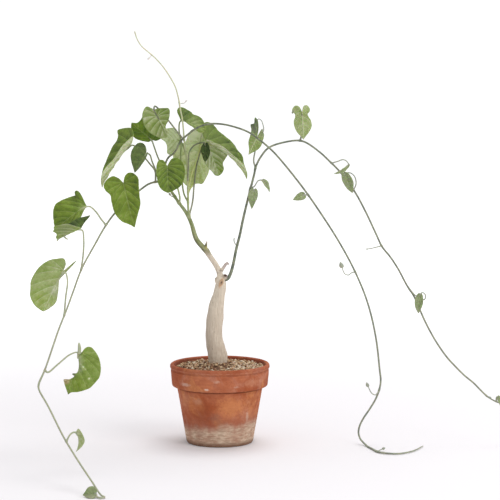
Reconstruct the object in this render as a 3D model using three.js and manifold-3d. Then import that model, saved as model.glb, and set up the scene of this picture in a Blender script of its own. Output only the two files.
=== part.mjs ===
// A young caudex vine in a small clay pot: a bent, swollen trunk in gritty soil, a woody branch that turns
// into a green stem, four thin climbing stems and their heart-shaped leaves.
// Millimetres, +Z up, the origin at the centre of the pot's underside, the viewer on the -Y side.
import * as THREE from 'three';
import { mergeVertices } from 'three/addons/utils/BufferGeometryUtils.js';
import Module from 'manifold-3d';

const wasm = await Module();
wasm.setup();

// Driving sizes.
const GAP = 0.3;
const POT_HEIGHT = 96;
const RIM_RADIUS = 60;
const BAND_RADIUS = 57.5;
const BAND_BOTTOM = 69;
const BODY_TOP_RADIUS = 51.4;
const FOOT_RADIUS = 40.2;
const FLOOR_THICKNESS = 9;
const INNER_FLOOR_RADIUS = 35.5;
const INNER_SHOULDER = { radius: 47, height: 67 };
const INNER_RIM = { radius: 54.5, height: 93 };
const POT_SIDES = 48;
const DRAIN = { count: 3, radius: 4, circle: 18, sides: 12 };

const SOIL_EDGE = { radius: 53.4, height: 90.6 };
const SOIL_MIDDLE_HEIGHT = 92.6;
const CHIP = { count: 66, seed: 11, smallest: 2.4, largest: 4.2, sunk: 0.5 };

const BLADE_THICKNESS = 0.8;
const BLADE_HEART = 0.25;
const BLADE_RINGS = 2;
const EDGE_WAVES = 5;
const USUAL_ARCH = 0.05;
const STALK_REACH = 0.15;
const SMALL_BLADE = { perHalf: 5, rings: 1, wave: 0.3 };
const STALK_RADII = { leaf: [0.85, 0.65], smallLeaf: [0.7, 0.55], bud: 0.6 };
const STEM_SIDES = 6;
const BRANCH_SIDES = 10;
const STEM_END_BULGE = 0.6;
const STALK_SIDES = 5;
const TRUNK_SIDES = 14;

// The plant's routes, chosen by hand from the picture, with a radius at each end.
const TRUNK = {
  points: [[2, 1, 52], [1, 0.5, 76], [-2.2, 0, 97], [-2.8, 0, 105], [-4.3, 0, 113], [-6.7, 0, 123],
    [-7, 0, 133],
    [-5.8, 0, 148], [-4.3, -1, 163], [-1, -2, 177.5], [1.2, -2, 190], [1.5, -2, 200.5]],
  radii: [5.5, 9, 11.2, 11.8, 11, 10.5, 10.1, 10.1, 9.4, 7.2, 6.7, 4.6],
};
const BRANCH = {
  points: [[0.9, -2, 196], [-0.9, -1, 207.3], [-6.9, 0, 218.2], [-12.8, 0, 226.7], [-16.4, 0, 232.8]],
  radii: [4.2, 3.5, 3.3, 3.3, 3.7],
};
const SPROUT = { points: [[-16.2, -1, 232], [-16.5, -2, 238], [-15.2, -2.5, 243.5]], radii: [2.2, 1.9, 0.9] };
const SCAR = { centre: [1.4, -7.4, 194.5], radius: 3.1 };
const KNOB = { centre: [6.2, -4, 200.6], radius: 3.4 };
const TWIG = {
  points: [[2.4, -3, 198], [1.6, -3.5, 206], [4.6, -3.5, 212], [9.2, -3, 217.4], [11.4, -3.5, 215.4]],
  radii: [2.4, 2, 2.1, 1.7, 0.8],
};

const LEADER = {
  points: [[-14.6, 0, 230], [-19.8, 0, 236], [-27.8, -1, 246], [-34.2, -2, 265.7], [-40.2, 0, 277.9],
    [-49.2, 3, 290.1], [-57.3, 6, 301.9], [-64.3, 8, 312.5]],
  radii: [3.4, 3.2, 2.9, 2.4, 2.1, 1.8, 1.6, 1.5],
};
const FORK_STEM = {
  points: [[-34.8, -1, 266.5], [-36.4, 2, 274], [-37.5, 3, 281], [-37.9, 5, 305.6], [-39, 6, 334.3],
    [-40.6, 6, 350], [-42.2, 5, 364], [-44.1, 3, 387], [-47.3, 3, 404.1], [-48.3, 2, 411.5], [-52.4, 0, 427.5],
    [-58.6, -2, 439.4], [-66.9, -5, 452], [-75.3, -8, 461.6], [-82.4, -11, 468], [-91.8, -14, 476.4],
    [-96.8, -17, 484.8], [-99.3, -20, 493.2]],
  radii: [1.5, 1.4, 1.3, 1.2, 1.1, 1, 1, 0.9, 0.9, 0.85, 0.8, 0.8, 0.75, 0.75, 0.7, 0.7, 0.7, 0.9],
};
const LEFT_VINE = {
  points: [[-62.8, 7.6, 311.5], [-69, 6, 314.2], [-75.5, 4, 314.3], [-84.3, 0, 312.2], [-94.7, -8, 305.4],
    [-108.5, -18, 294.3], [-124, -30, 279.1], [-134.7, -42, 264.5], [-146.4, -58, 243.7], [-159.5, -80, 219.2],
    [-167.4, -100, 196.5], [-174.4, -118, 176.2], [-182.2, -137, 155.2], [-194.6, -172, 116],
    [-200.6, -186, 101], [-199.6, -191, 96.4], [-188.2, -208, 81], [-168.6, -240, 52.7], [-154.5, -262, 35.9],
    [-134.5, -292, 14.6], [-122.6, -309, 2.4], [-118.8, -313, 1.6], [-123, -317, 1.6], [-127.2, -312, 1.7],
    [-128.2, -308, 3.2]],
  radii: [1.25, 1.25, 1.2, 1.15, 1.1, 1.1, 1.1, 1.05, 1, 1, 1, 1, 1, 1, 1.25, 1, 1, 1, 1, 1, 1, 1, 1,
    0.9, 0.8],
};
const MIDDLE_VINE = {
  points: [[-62.9, 8, 311.2], [-64.6, 7.6, 317], [-65.9, 6, 330.7], [-61.6, 2, 342.9], [-53.7, -4, 349.9],
    [-45.8, -12, 364], [-36.6, -18, 372.7], [-25.9, -24, 380.5], [-13.6, -28, 385], [1, -30, 385.3],
    [16.3, -31, 382.3], [35.8, -32, 375], [58.4, -32, 357.7], [71.6, -32, 344], [105.9, -32, 300.3],
    [147.3, -32, 236.2], [166.4, -32, 198], [176.7, -32, 170.5], [186.1, -31, 130.8], [190.9, -28, 91.8],
    [192.4, -26, 78.9], [191.1, -24, 68.5], [186.8, -21, 55.7], [180.2, -18, 43.5], [172.7, -16, 31.5],
    [168.2, -15, 22], [166.7, -16, 14.5], [168.1, -19, 8], [174.4, -30, 1.9], [180.8, -52, 1.5],
    [190, -75, 1.5], [206.9, -82, 1.5], [216.9, -78, 1.5], [229, -65, 1.5], [242.5, -37, 1.5]],
  radii: [1.25, 1.25, 1.2, 1.2, 1.2, 1.15, 1.15, 1.15, 1.15, 1.1, 1.1, 1.1, 1.1, 1.1, 1.1, 1.1, 1.1, 1.1, 1.1,
    1.1, 1.1, 1.1, 1.1, 1.1, 1.1, 1.1, 1.1, 1.1, 1.1, 1.1, 1.1, 1, 0.9, 0.8, 0.6],
};
const RIGHT_VINE = {
  points: [[4.5, -2, 196.5], [9.6, -3, 198.6], [12.8, -4, 204.2], [16, -4, 215.1], [19.6, -4, 233.5],
    [24.3, -4, 251.9], [27.9, -3, 269.3], [33.4, -2, 292.9], [41.1, 0, 322.7], [43.5, 1, 333.4],
    [50.6, 2, 346.5],
    [59, 3, 355.4], [78.1, 5, 361.8], [94.8, 6, 363.6], [103.2, 6, 361.2], [120, 7, 349.4], [131, 7, 339.3],
    [142.8, 7, 327.4], [162.3, 6, 301.3], [174.1, 5, 279.8], [188, 3, 250.4], [194.5, 2, 236.8],
    [204.6, 1, 224.1], [214.7, 0, 208.6], [223.9, -2, 191.4], [233.2, -4, 176.8], [239.6, -5, 162.2],
    [246.1, -6, 147.7], [258, -8, 125.6], [272, -10, 105.2], [283, -12, 93.2], [293.4, -14, 83],
    [304.3, -16, 74.1], [313.3, -18, 65.1], [321.2, -20, 58], [328.4, -21, 53.7], [337.9, -22, 49.7]],
  radii: [1.9, 1.8, 1.6, 1.5, 1.4, 1.3, 1.3, 1.2, 1.2, 1.2, 1.2, 1.2, 1.15, 1.15, 1.1, 1.1, 1.1, 1.1, 1.1,
    1.1, 1.1,
    1.1, 1.1, 1.1, 1.1, 1.1, 1.1, 1.1, 1.05, 1.05, 1.05, 1, 1, 1, 0.9, 0.8, 0.6],
};

// Outlines that several small leaves share: points from the stalk to the tip as [along, out] in leaf lengths.
const NARROW_HALF = [[-0.06, 0.08], [0.04, 0.2], [0.3, 0.27], [0.6, 0.2], [0.85, 0.08]];
const WIDE_HALF = [[-0.12, 0.1], [-0.08, 0.28], [0.15, 0.4], [0.5, 0.33], [0.82, 0.13]];
const LONG_HALF = [[-0.03, 0.05], [0.08, 0.13], [0.35, 0.19], [0.65, 0.16], [0.88, 0.07]];

// Each leaf: where its blade starts and ends, the way its upper side faces, how far each half is folded up
// in degrees, its outline and the route of its stalk. The right half is the one at along x face.
const LEAVES = {
  leaf_front_heart: {
    base: [-112.9, -34, 315.9], tip: [-99.5, -44, 264.4], face: [-0.1, -1, 0.15], fold: [10, 10], wave: 1,
    right: [[-0.13, 0.08], [-0.21, 0.2], [-0.16, 0.34], [-0.04, 0.43], [0.08, 0.41], [0.19, 0.34],
      [0.36, 0.35], [0.61, 0.33], [0.8, 0.24], [0.91, 0.1]],
    left: [[-0.14, 0.07], [-0.19, 0.16], [-0.15, 0.27], [-0.02, 0.35], [0.16, 0.33], [0.38, 0.29],
      [0.55, 0.26], [0.74, 0.16], [0.87, 0.08]],
    stem: 'left_vine',
    stalk: [[-105.6, -15.6, 297], [-106, -22, 302], [-109, -28, 310], [-112, -32, 315.4]],
  },
  leaf_front_round: {
    base: [-61.8, -16, 334.7], tip: [-60.6, -20, 302.9], face: [0.05, -1, 0.25], fold: [12, 12], wave: 0.7,
    right: [[-0.22, 0.14], [-0.22, 0.31], [-0.05, 0.4], [0.19, 0.42], [0.47, 0.4], [0.77, 0.32], [0.92, 0.18]],
    left: [[-0.26, 0.18], [-0.27, 0.41], [-0.14, 0.56], [0.09, 0.65], [0.34, 0.65], [0.6, 0.58], [0.8, 0.43],
      [0.91, 0.22]],
    stem: 'leader_stem',
    stalk: [[-48.2, 2.6, 289], [-47.5, -2, 296], [-52, -6, 315], [-58, -11, 331], [-61.2, -14, 334.6]],
  },
  leaf_top_veined: {
    base: [-73.4, -10, 393.1], tip: [-60.6, -20, 369.3], face: [0.2, 1, 0.4], fold: [8, 8], wave: 0.8,
    right: [[-0.27, 0.08], [-0.25, 0.22], [-0.17, 0.38], [-0.03, 0.58], [0.13, 0.57], [0.3, 0.44],
      [0.41, 0.28], [0.48, 0.15], [0.56, 0.08], [0.69, 0.06], [0.85, 0.04]],
    left: [[-0.34, -0.02], [-0.42, 0.02], [-0.56, 0.14], [-0.52, 0.39], [-0.38, 0.63], [-0.11, 0.79],
      [0.19, 0.77], [0.55, 0.59], [0.84, 0.34]],
    stem: 'top_shoot',
    stalk: [[-42.2, 5, 364], [-52, 3, 376.3], [-61.4, -3, 388.9], [-71.9, -6, 401.6], [-76.4, -10, 405.4],
      [-77.2, -15, 402], [-75.4, -14.5, 396.5], [-74, -12, 394]],
  },
  leaf_upper_left: {
    base: [-81.2, 18, 363.5], tip: [-105.5, 14, 384.7], face: [-0.2, -1, 0.1], fold: [8, 8], wave: 0.6,
    right: [[-0.13, 0.07], [-0.2, 0.24], [-0.14, 0.45], [0.19, 0.66], [0.64, 0.72], [0.87, 0.54], [0.82, 0.32],
      [0.84, 0.14]],
    left: [[0.04, 0.13], [0.17, 0.21], [0.36, 0.31], [0.56, 0.35], [0.76, 0.25], [0.92, 0.12]],
    stem: 'middle_vine',
    stalk: [[-65.6, 6.6, 326], [-70.3, 12, 335], [-74.7, 15, 344.4], [-79.4, 17, 357.6], [-81, 17.6, 361.9]],
  },
  leaf_left_small: {
    base: [-87, -14, 349.4], tip: [-100.1, -20, 326.7], face: [-0.35, -1, 0.1], fold: [5, -80], wave: 0.5,
    right: [[-0.14, 0.07], [-0.28, 0.2], [-0.35, 0.34], [-0.33, 0.5], [-0.21, 0.61], [0.05, 0.64],
      [0.37, 0.56], [0.65, 0.37], [0.85, 0.16]],
    left: [[-0.1, 0.05], [-0.06, 0.13], [0.2, 0.2], [0.5, 0.2], [0.8, 0.1]],
    stem: 'left_vine',
    stalk: [[-73, 4.9, 314.4], [-76.4, -2, 328.9], [-80.3, -7, 340], [-82.6, -11, 347.6], [-86, -12.6, 349.6]],
  },
  leaf_back_left: {
    base: [-47.6, 16, 363.7], tip: [-71.7, 20, 365.8], face: [0.1, 1, 0.35], fold: [6, 6], wave: 0.6,
    right: [[-0.04, 0.1], [0.05, 0.28], [0.25, 0.59], [0.46, 0.92], [0.64, 0.85], [0.66, 0.46], [0.75, 0.22],
      [0.9, 0.09]],
    left: [[0, 0.14], [0.11, 0.35], [0.32, 0.55], [0.59, 0.54], [0.79, 0.45], [0.93, 0.26]],
    stem: 'top_shoot',
    stalk: [[-37.6, 4, 290], [-42.6, 8, 299], [-45.6, 11, 320], [-46.8, 14, 345], [-47, 16, 361.5]],
  },
  leaf_back_centre: {
    base: [-23.9, 26, 359.5], tip: [-35.1, 36, 303.5], face: [0.1, 1, 0.15], fold: [6, 6], wave: 1,
    right: [[-0.14, 0.01], [-0.24, 0.01], [-0.24, 0.08], [-0.1, 0.2], [0.04, 0.28], [0.22, 0.3], [0.45, 0.29],
      [0.6, 0.29], [0.73, 0.26], [0.85, 0.21], [0.88, 0.08]],
    left: [[-0.14, 0.01], [-0.25, 0.01], [-0.29, 0.09], [-0.27, 0.19], [-0.2, 0.25], [-0.09, 0.28],
      [0.05, 0.31], [0.15, 0.45], [0.35, 0.52], [0.59, 0.45], [0.8, 0.3], [0.94, 0.15]],
    stem: 'top_shoot',
    stalk: [[-37.8, 4.6, 301], [-33, 10, 311.4], [-28.5, 16, 332.4], [-24.4, 20, 350.2], [-23.6, 23.5, 358.4]],
  },
  leaf_back_right: {
    base: [-13.4, 12, 355.5], tip: [-1.4, 4, 321.3], face: [0.35, 1, 0.1], fold: [8, 8], wave: 0.8,
    right: [[-0.08, 0.08], [-0.06, 0.22], [0.14, 0.36], [0.42, 0.51], [0.58, 0.36], [0.67, 0.26],
      [0.84, 0.23], [0.97, 0.11]],
    left: [[-0.06, 0.08], [0.08, 0.24], [0.32, 0.34], [0.58, 0.3], [0.8, 0.18], [0.94, 0.1]],
    stem: 'top_shoot',
    stalk: [[-36.4, 2, 274], [-32.5, 7, 290], [-30.5, 10, 311.4], [-26.2, 13, 339.8], [-20.1, 15, 355],
      [-15.2, 13.4, 357.6]],
  },
  leaf_shaded_small: {
    base: [-16.7, -3, 360.6], tip: [-16.9, -5, 338.6], face: [0.1, -1, 0.1], fold: [20, 20], wave: 0.4,
    right: [[-0.05, 0.08], [0.04, 0.17], [0.33, 0.28], [0.63, 0.2], [0.87, 0.11]],
    left: [[-0.06, 0.08], [0.02, 0.16], [0.3, 0.24], [0.57, 0.25], [0.81, 0.15]],
    stem: 'top_shoot',
    stalk: [[-38.2, 5.4, 316], [-37.4, 1, 330], [-35.8, -1, 350.3], [-31, -2, 357.5], [-24.5, -3, 361],
      [-18.4, -3.4, 361.3]],
  },
  leaf_left_folded: {
    base: [-105.3, -4, 360.1], tip: [-140.4, -12, 309.2], face: [-0.8, -0.27, 0.57], fold: [35, 35], wave: 0.7,
    arch: 0.03,
    right: [[-0.18, 0.12], [-0.26, 0.28], [-0.24, 0.36], [-0.17, 0.45], [-0.09, 0.5], [0, 0.38],
      [0.1, 0.33], [0.24, 0.33], [0.41, 0.3], [0.55, 0.25], [0.7, 0.19], [0.8, 0.14], [0.92, 0.08]],
    left: [[-0.06, 0.11], [-0.12, 0.26], [0.04, 0.29], [0.18, 0.29], [0.33, 0.29], [0.49, 0.31],
      [0.64, 0.34], [0.75, 0.35], [0.85, 0.29], [0.93, 0.19], [0.98, 0.08]],
    stem: 'left_vine',
    stalk: [[-76.6, 3.8, 314.2], [-77.3, 1, 328.1], [-83, -1, 336], [-89.4, 0, 343.8], [-97.1, -1, 352.8],
      [-103.4, -3, 358.6]],
  },
  leaf_right_upper: {
    base: [-46.3, 8, 388.4], tip: [-17.9, 1, 374.7], face: [0.1, -0.6, 0.8], fold: [12, 12], wave: 0.5,
    arch: 0.06,
    right: [[0.14, 0.05], [0.32, 0.1], [0.52, 0.16], [0.68, 0.22], [0.87, 0.22], [0.97, 0.14]],
    left: [[-0.15, 0.15], [-0.31, 0.32], [-0.37, 0.45], [-0.36, 0.55], [-0.3, 0.6], [-0.17, 0.6], [0, 0.55],
      [0.17, 0.49], [0.28, 0.42], [0.43, 0.44], [0.59, 0.44], [0.72, 0.39], [0.88, 0.27], [0.98, 0.14]],
    stem: 'top_shoot',
    stalk: [[-40.6, 6, 350], [-46, 10, 363], [-48.6, 11, 377], [-46.9, 9, 386.6]],
  },
  leaf_right_folded: {
    base: [-16.8, 6, 361.9], tip: [33.2, -9, 319.5], face: [0.62, -0.4, 0.7], fold: [45, 33], wave: 0.7,
    arch: 0.1,
    right: [[0.01, 0.15], [0.1, 0.2], [0.21, 0.19], [0.31, 0.17], [0.4, 0.18], [0.5, 0.21], [0.6, 0.23],
      [0.72, 0.26], [0.82, 0.28], [0.93, 0.2]],
    left: [[-0.12, 0.12], [-0.21, 0.26], [-0.31, 0.45], [-0.29, 0.5], [-0.19, 0.48], [-0.1, 0.42],
      [-0.01, 0.36], [0.09, 0.33], [0.19, 0.31], [0.28, 0.3], [0.39, 0.27], [0.52, 0.21], [0.62, 0.2],
      [0.69, 0.17], [0.76, 0.12], [0.86, 0.09], [0.94, 0.06]],
    stem: 'top_shoot',
    stalk: [[-37.9, 5, 306], [-35.6, 6, 316], [-32.7, 8, 326.8], [-28.3, 9, 338.6], [-25.1, 10, 349.2],
      [-20.6, 8.5, 359.2]],
  },
  left_vine_leaf_1: {
    base: [-155.3, -52, 291.1], tip: [-190, -66, 264.6], face: [-0.3, -0.9, 0.3], fold: [15, 25], wave: 1,
    right: [[-0.07, 0.11], [-0.1, 0.27], [-0.09, 0.4], [-0.05, 0.46], [0.03, 0.46], [0.1, 0.42], [0.23, 0.47],
      [0.4, 0.51], [0.6, 0.49], [0.76, 0.4], [0.87, 0.28], [0.95, 0.13]],
    left: [[0.02, 0.07], [0.12, 0.13], [0.26, 0.19], [0.4, 0.24], [0.57, 0.24], [0.74, 0.16], [0.9, 0.07]],
    stem: 'left_vine',
    stalk: [[-133.4, -40.6, 266.8], [-138.9, -44, 274.3], [-144.5, -47, 282.9], [-152, -50.4, 289.6]],
  },
  left_vine_leaf_2: {
    base: [-158.9, -84, 267.3], tip: [-184.2, -98, 257], face: [-0.35, -0.05, 0.93], fold: [50, 50], wave: 0.9,
    arch: 0,
    right: [[-0.14, 0.1], [-0.35, 0.26], [-0.62, 0.42], [-0.34, 0.42], [-0.05, 0.48], [0.3, 0.48], [0.62, 0.4],
      [0.88, 0.2]],
    left: [[-0.04, 0.12], [0.05, 0.26], [0.3, 0.38], [0.6, 0.44], [0.9, 0.42], [1.14, 0.34], [1.17, 0.16]],
    stem: 'left_vine',
    stalk: [[-159.9, -80.6, 218.4], [-157.4, -82, 235.5], [-156.4, -84, 253], [-158, -84.4, 265]],
  },
  left_vine_leaf_3: {
    base: [-177.9, -112, 221.2], tip: [-200, -124, 175.5], face: [-0.15, 1, 0.2], fold: [10, 20], wave: 1,
    right: [[-0.3, 0.12], [-0.05, 0.1], [0.03, 0.13], [0.1, 0.1], [0.22, 0.1], [0.38, 0.14], [0.54, 0.17],
      [0.7, 0.17],
      [0.87, 0.1]],
    left: [[-0.16, 0.03], [-0.24, 0.12], [-0.17, 0.26], [-0.06, 0.4], [0.11, 0.5], [0.32, 0.54], [0.53, 0.53],
      [0.65, 0.48], [0.81, 0.42], [0.94, 0.27], [0.99, 0.12]],
    stem: 'left_vine',
    stalk: [[-176.5, -123, 170.6], [-174.8, -121.5, 190.5], [-172.9, -117.5, 210.8], [-176, -113.6, 219.6]],
  },
  left_vine_leaf_4: {
    base: [-156.9, -158, 133.1], tip: [-168.6, -176, 88.6], face: [0.1, -1, 0.35], fold: [10, 10], wave: 1,
    right: [[-0.2, 0.02], [-0.1, 0.06], [0.1, 0.04], [0.3, 0.04], [0.5, 0.05], [0.62, 0.11], [0.7, 0.18],
      [0.81, 0.14], [0.92, 0.07]],
    left: [[-0.12, 0.06], [-0.18, 0.17], [-0.09, 0.34], [0.09, 0.5], [0.31, 0.57], [0.51, 0.58],
      [0.71, 0.49], [0.86, 0.34], [0.95, 0.15]],
    stem: 'left_vine',
    stalk: [[-194.8, -172.5, 115.4], [-191.6, -172.5, 113], [-181.5, -167, 120.3], [-167.1, -162, 131.5],
      [-159, -158.8, 133.4]],
  },
  left_vine_leaf_5: {
    base: [-154.1, -240, 57], tip: [-154.7, -246, 37], face: [1, -0.3, 0.1], fold: [68, 72], wave: 0.4,
    arch: 0.14,
    right: [[-0.13, 0.14], [-0.2, 0.31], [-0.09, 0.35], [0.03, 0.4], [0.18, 0.43], [0.36, 0.44], [0.51, 0.41],
      [0.67, 0.34], [0.8, 0.28], [0.89, 0.16]],
    left: [[-0.05, 0.08], [-0.06, 0.17], [0.07, 0.21], [0.22, 0.25], [0.35, 0.26], [0.53, 0.23], [0.7, 0.17],
      [0.89, 0.08]],
    stem: 'left_vine',
    stalk: [[-165, -246, 48.3], [-163.2, -243, 52], [-160.9, -241, 55.4], [-157.9, -240, 57.4],
      [-155, -240, 57.3]],
  },
  right_vine_leaf_1: {
    base: [45.2, 2, 369.3], tip: [34.5, -3, 346.9], face: [0.1, 1, 0.2], fold: [15, 15], wave: 0.5,
    right: [[-0.28, 0.03], [-0.4, 0.06], [-0.3, 0.14], [-0.17, 0.28], [0.05, 0.33], [0.29, 0.37], [0.53, 0.32],
      [0.76, 0.16], [0.9, 0.06]],
    left: [[-0.35, 0.12], [-0.66, 0.32], [-0.73, 0.5], [-0.45, 0.42], [-0.36, 0.54], [-0.15, 0.4], [0.09, 0.33],
      [0.43, 0.27], [0.75, 0.09]],
    stem: 'right_vine',
    stalk: [[43, 0.8, 331], [40.7, 5, 339.2], [42, 6.5, 348.7], [44.4, 5.5, 361], [45.2, 3.4, 367.8]],
  },
  right_vine_leaf_2: {
    base: [98.3, 4, 398.3], tip: [100, 0, 365], face: [0.1, 1, 0.1], fold: [12, 12], wave: 0.6,
    right: [[-0.19, 0.08], [-0.21, 0.19], [-0.09, 0.28], [0.01, 0.27], [0.08, 0.2], [0.18, 0.22], [0.33, 0.3],
      [0.55, 0.31], [0.73, 0.22], [0.87, 0.1]],
    left: [[-0.19, 0.11], [-0.22, 0.23], [-0.13, 0.34], [-0.01, 0.36], [0.06, 0.28], [0.18, 0.27],
      [0.31, 0.33], [0.56, 0.3], [0.75, 0.2], [0.88, 0.09]],
    stem: 'right_vine',
    stalk: [[96, 6, 363.5], [97.6, 9, 368.9], [98.2, 9.5, 383.2], [98.3, 5.4, 396.6]],
  },
};

// Small leaves and buds, each fused to the stem that bears it.
const SMALL_LEAVES = {
  left_vine: [
    { base: [-129, -308, 4], tip: [-143.1, -306, 2], face: [0, -0.6, 0.8], fold: [50, 15], half: WIDE_HALF,
      stalk: [[-128.2, -308, 3.2], [-129.6, -307.8, 4]], width: 1.5 },
  ],
  middle_vine: [
    { base: [100, -33, 301.6], tip: [86.4, -36, 295.8], face: [0, -1, 0.3], fold: [15, -10], half: WIDE_HALF,
      stalk: [[104.9, -32, 301.6], [99, -33.2, 301.6]], width: 0.8 },
  ],
  right_vine: [
    { base: [51, -6, 317.4], tip: [59.8, -8, 303.1], face: [0.6, -0.7, 0.3], fold: [40, 20], half: NARROW_HALF,
      stalk: [[37.5, -1, 307.5], [41.5, -3, 309.4], [43.7, -4, 312.9], [46.1, -5, 316.4], [51.6, -6, 317]],
      width: 0.9 },
    { base: [41.1, -5, 306.1], tip: [38.2, -10, 282.6], face: [-0.2, -1, 0.1], fold: [25, 15],
      half: NARROW_HALF, stalk: [[36.6, -1.4, 304.6], [39.4, -3.4, 306.6], [41.2, -5.2, 304.8]], width: 0.95 },
    { base: [154.2, -4, 336.2], tip: [136.2, -8, 324.8], face: [0.4, -0.8, -0.6], fold: [50, 20],
      half: LONG_HALF, width: 1.1,
      stalk: [[133.8, 7, 336.5], [140.3, 1, 338.8], [147.4, -2, 341.3], [151.4, -3, 339.5],
        [153.8, -4, 335.6]] },
    { base: [148, -4, 325.8], tip: [158.6, -8, 301.7], face: [0.3, -0.9, 0.2], fold: [15, 25],
      half: NARROW_HALF, width: 1,
      stalk: [[160.2, 6.2, 304.2], [163, 0, 312.4], [161, -2.6, 321.4], [155.7, -3.4, 325.6],
        [148.8, -4.6, 325]] },
    { base: [239.4, -14, 182], tip: [237.2, -18, 158.5], face: [-0.3, -1, 0.1], fold: [20, 20],
      half: LONG_HALF, width: 1.2,
      stalk: [[227.6, -2.8, 185.8], [236.6, -8, 177], [244.6, -12, 174.4], [246, -14, 180], [242, -14.4, 183.4],
        [239.4, -14.6, 180.6]] },
    { base: [333, -21.6, 58.6], tip: [339.6, -24, 41.4], face: [0.5, -0.8, 0.2], fold: [20, 15],
      half: NARROW_HALF, stalk: [[331, -21.3, 52.6], [331.6, -21.4, 58], [333.4, -21.8, 57]], width: 0.8 },
  ],
};
const BUDS = {
  leader_stem: [
    { stalk: [[-53.6, 4.8, 297.4], [-57, 2.4, 296.8], [-59.4, 1, 299.6]], radius: 1.5 },
  ],
  top_shoot: [
    { stalk: [[-79.4, -9.6, 465.4], [-83.4, -13.4, 461.6]], radius: 1.3 },
    { stalk: [[-47.9, 2.6, 408.4], [-40.4, 3.6, 409.4]], radius: 1.5 },
  ],
  middle_vine: [
    { stalk: [[160.8, -32, 210.2], [156.5, -32, 209], [152.8, -34, 206.6], [148.1, -36, 208.8],
      [144.4, -38, 218.4]],
      radius: 3 },
    { stalk: [[190.7, -23.6, 66.6], [186, -28, 61.8], [181.7, -29, 63.9], [178, -30, 70.4], [176.5, -30, 74]],
      radius: 2.2 },
    { stalk: [[187, -67.6, 1.5], [190.6, -63, 2.4], [194, -61, 3.4]], radius: 1.7 },
  ],
  right_vine: [
    { stalk: [[194.2, 2, 237.6], [187, 0, 236], [181, -2, 234.8], [176.4, -3, 234.2]], radius: 1 },
    { stalk: [[319.4, -19.6, 59.4], [323.5, -22, 57.6]], radius: 1.3 },
  ],
};

// Colours read from the picture by eye.
const CLAY = { color: 0xb9643f, roughness: 0.9, metalness: 0 };
const GRIT = { color: 0x8a7a62, roughness: 1, metalness: 0 };
const BARK = { color: 0xb9ad98, roughness: 0.9, metalness: 0 };
const GREEN_STEM = { color: 0x7e8668, roughness: 0.7, metalness: 0 };
const YOUNG_STEM = { color: 0xb2bd7a, roughness: 0.7, metalness: 0 };
const LEAF_GREEN = { color: 0x6d9144, roughness: 0.65, metalness: 0 };

const part = new THREE.Group();

function vector(point) {
  return new THREE.Vector3(...point);
}

// A repeatable stream of numbers from 0 to 1.
function numberStream(seed) {
  let state = seed;
  return () => {
    state = (state * 1664525 + 1013904223) % 4294967296;
    return state / 4294967296;
  };
}

function toSolid(geometry) {
  const bare = geometry.clone();
  bare.deleteAttribute('normal');
  bare.deleteAttribute('uv');
  const merged = mergeVertices(bare, 1e-4);
  const corners = merged.index.array;
  const triVerts = [];
  for (let start = 0; start < corners.length; start += 3) {
    const [first, second, third] = corners.slice(start, start + 3);
    if (first !== second && second !== third && third !== first) {
      triVerts.push(first, second, third);
    }
  }
  const mesh = new wasm.Mesh({
    numProp: 3,
    vertProperties: new Float32Array(merged.attributes.position.array),
    triVerts: new Uint32Array(triVerts),
  });
  return new wasm.Manifold(mesh);
}

function toGeometry(solid) {
  const mesh = solid.getMesh();
  const geometry = new THREE.BufferGeometry();
  geometry.setAttribute('position', new THREE.BufferAttribute(mesh.vertProperties, 3));
  geometry.setIndex(new THREE.BufferAttribute(mesh.triVerts, 1));
  return geometry;
}

function addNode(name, solid, look) {
  const mesh = new THREE.Mesh(toGeometry(solid), new THREE.MeshStandardMaterial(look));
  mesh.name = name;
  part.add(mesh);
}

function closedMesh(positions, triangles) {
  const geometry = new THREE.BufferGeometry();
  geometry.setAttribute('position', new THREE.Float32BufferAttribute(positions, 3));
  geometry.setIndex(triangles);
  return toSolid(geometry);
}

function turned(profile, sides) {
  const points = profile.map(([radius, height]) => new THREE.Vector2(radius, height));
  const geometry = new THREE.LatheGeometry(points, sides);
  geometry.rotateX(Math.PI / 2);
  return toSolid(geometry);
}

// The radius at a share of a route's length, between the radii given at its points.
function radiusAt(radii, share) {
  const place = share * (radii.length - 1);
  const before = Math.min(Math.floor(place), radii.length - 2);
  return THREE.MathUtils.lerp(radii[before], radii[before + 1], place - before);
}

// A stem along a smooth route: rings of equal sides with a point at each end.
function stem({ points, radii }, sides, stepLength, extra = 0) {
  const curve = new THREE.CatmullRomCurve3(points.map(vector), false, 'centripetal');
  const steps = Math.max(2, Math.round(curve.getLength() / stepLength));
  const frames = curve.computeFrenetFrames(steps, false);
  const positions = [];
  const triangles = [];
  for (let step = 0; step <= steps; step += 1) {
    const share = curve.getUtoTmapping(step / steps);
    const centre = curve.getPoint(share);
    const radius = radiusAt(radii, share) + extra;
    for (let side = 0; side < sides; side += 1) {
      const angle = (2 * Math.PI * side) / sides;
      const out = frames.normals[step].clone().multiplyScalar(radius * Math.cos(angle));
      out.addScaledVector(frames.binormals[step], radius * Math.sin(angle));
      positions.push(centre.x + out.x, centre.y + out.y, centre.z + out.z);
    }
  }
  for (let step = 0; step < steps; step += 1) {
    for (let side = 0; side < sides; side += 1) {
      const next = (side + 1) % sides;
      const low = step * sides;
      const high = low + sides;
      triangles.push(low + side, low + next, high + next);
      triangles.push(low + side, high + next, high + side);
    }
  }
  const lastRing = steps * sides;
  const firstPole = positions.length / 3;
  const lastPole = firstPole + 1;
  const start = vector(points[0]).addScaledVector(frames.tangents[0], -STEM_END_BULGE * (radii[0] + extra));
  const end = vector(points.at(-1));
  end.addScaledVector(frames.tangents[steps], STEM_END_BULGE * (radii.at(-1) + extra));
  positions.push(...start.toArray(), ...end.toArray());
  for (let side = 0; side < sides; side += 1) {
    const next = (side + 1) % sides;
    triangles.push(firstPole, next, side);
    triangles.push(lastPole, lastRing + side, lastRing + next);
  }
  return closedMesh(positions, triangles);
}

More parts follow.
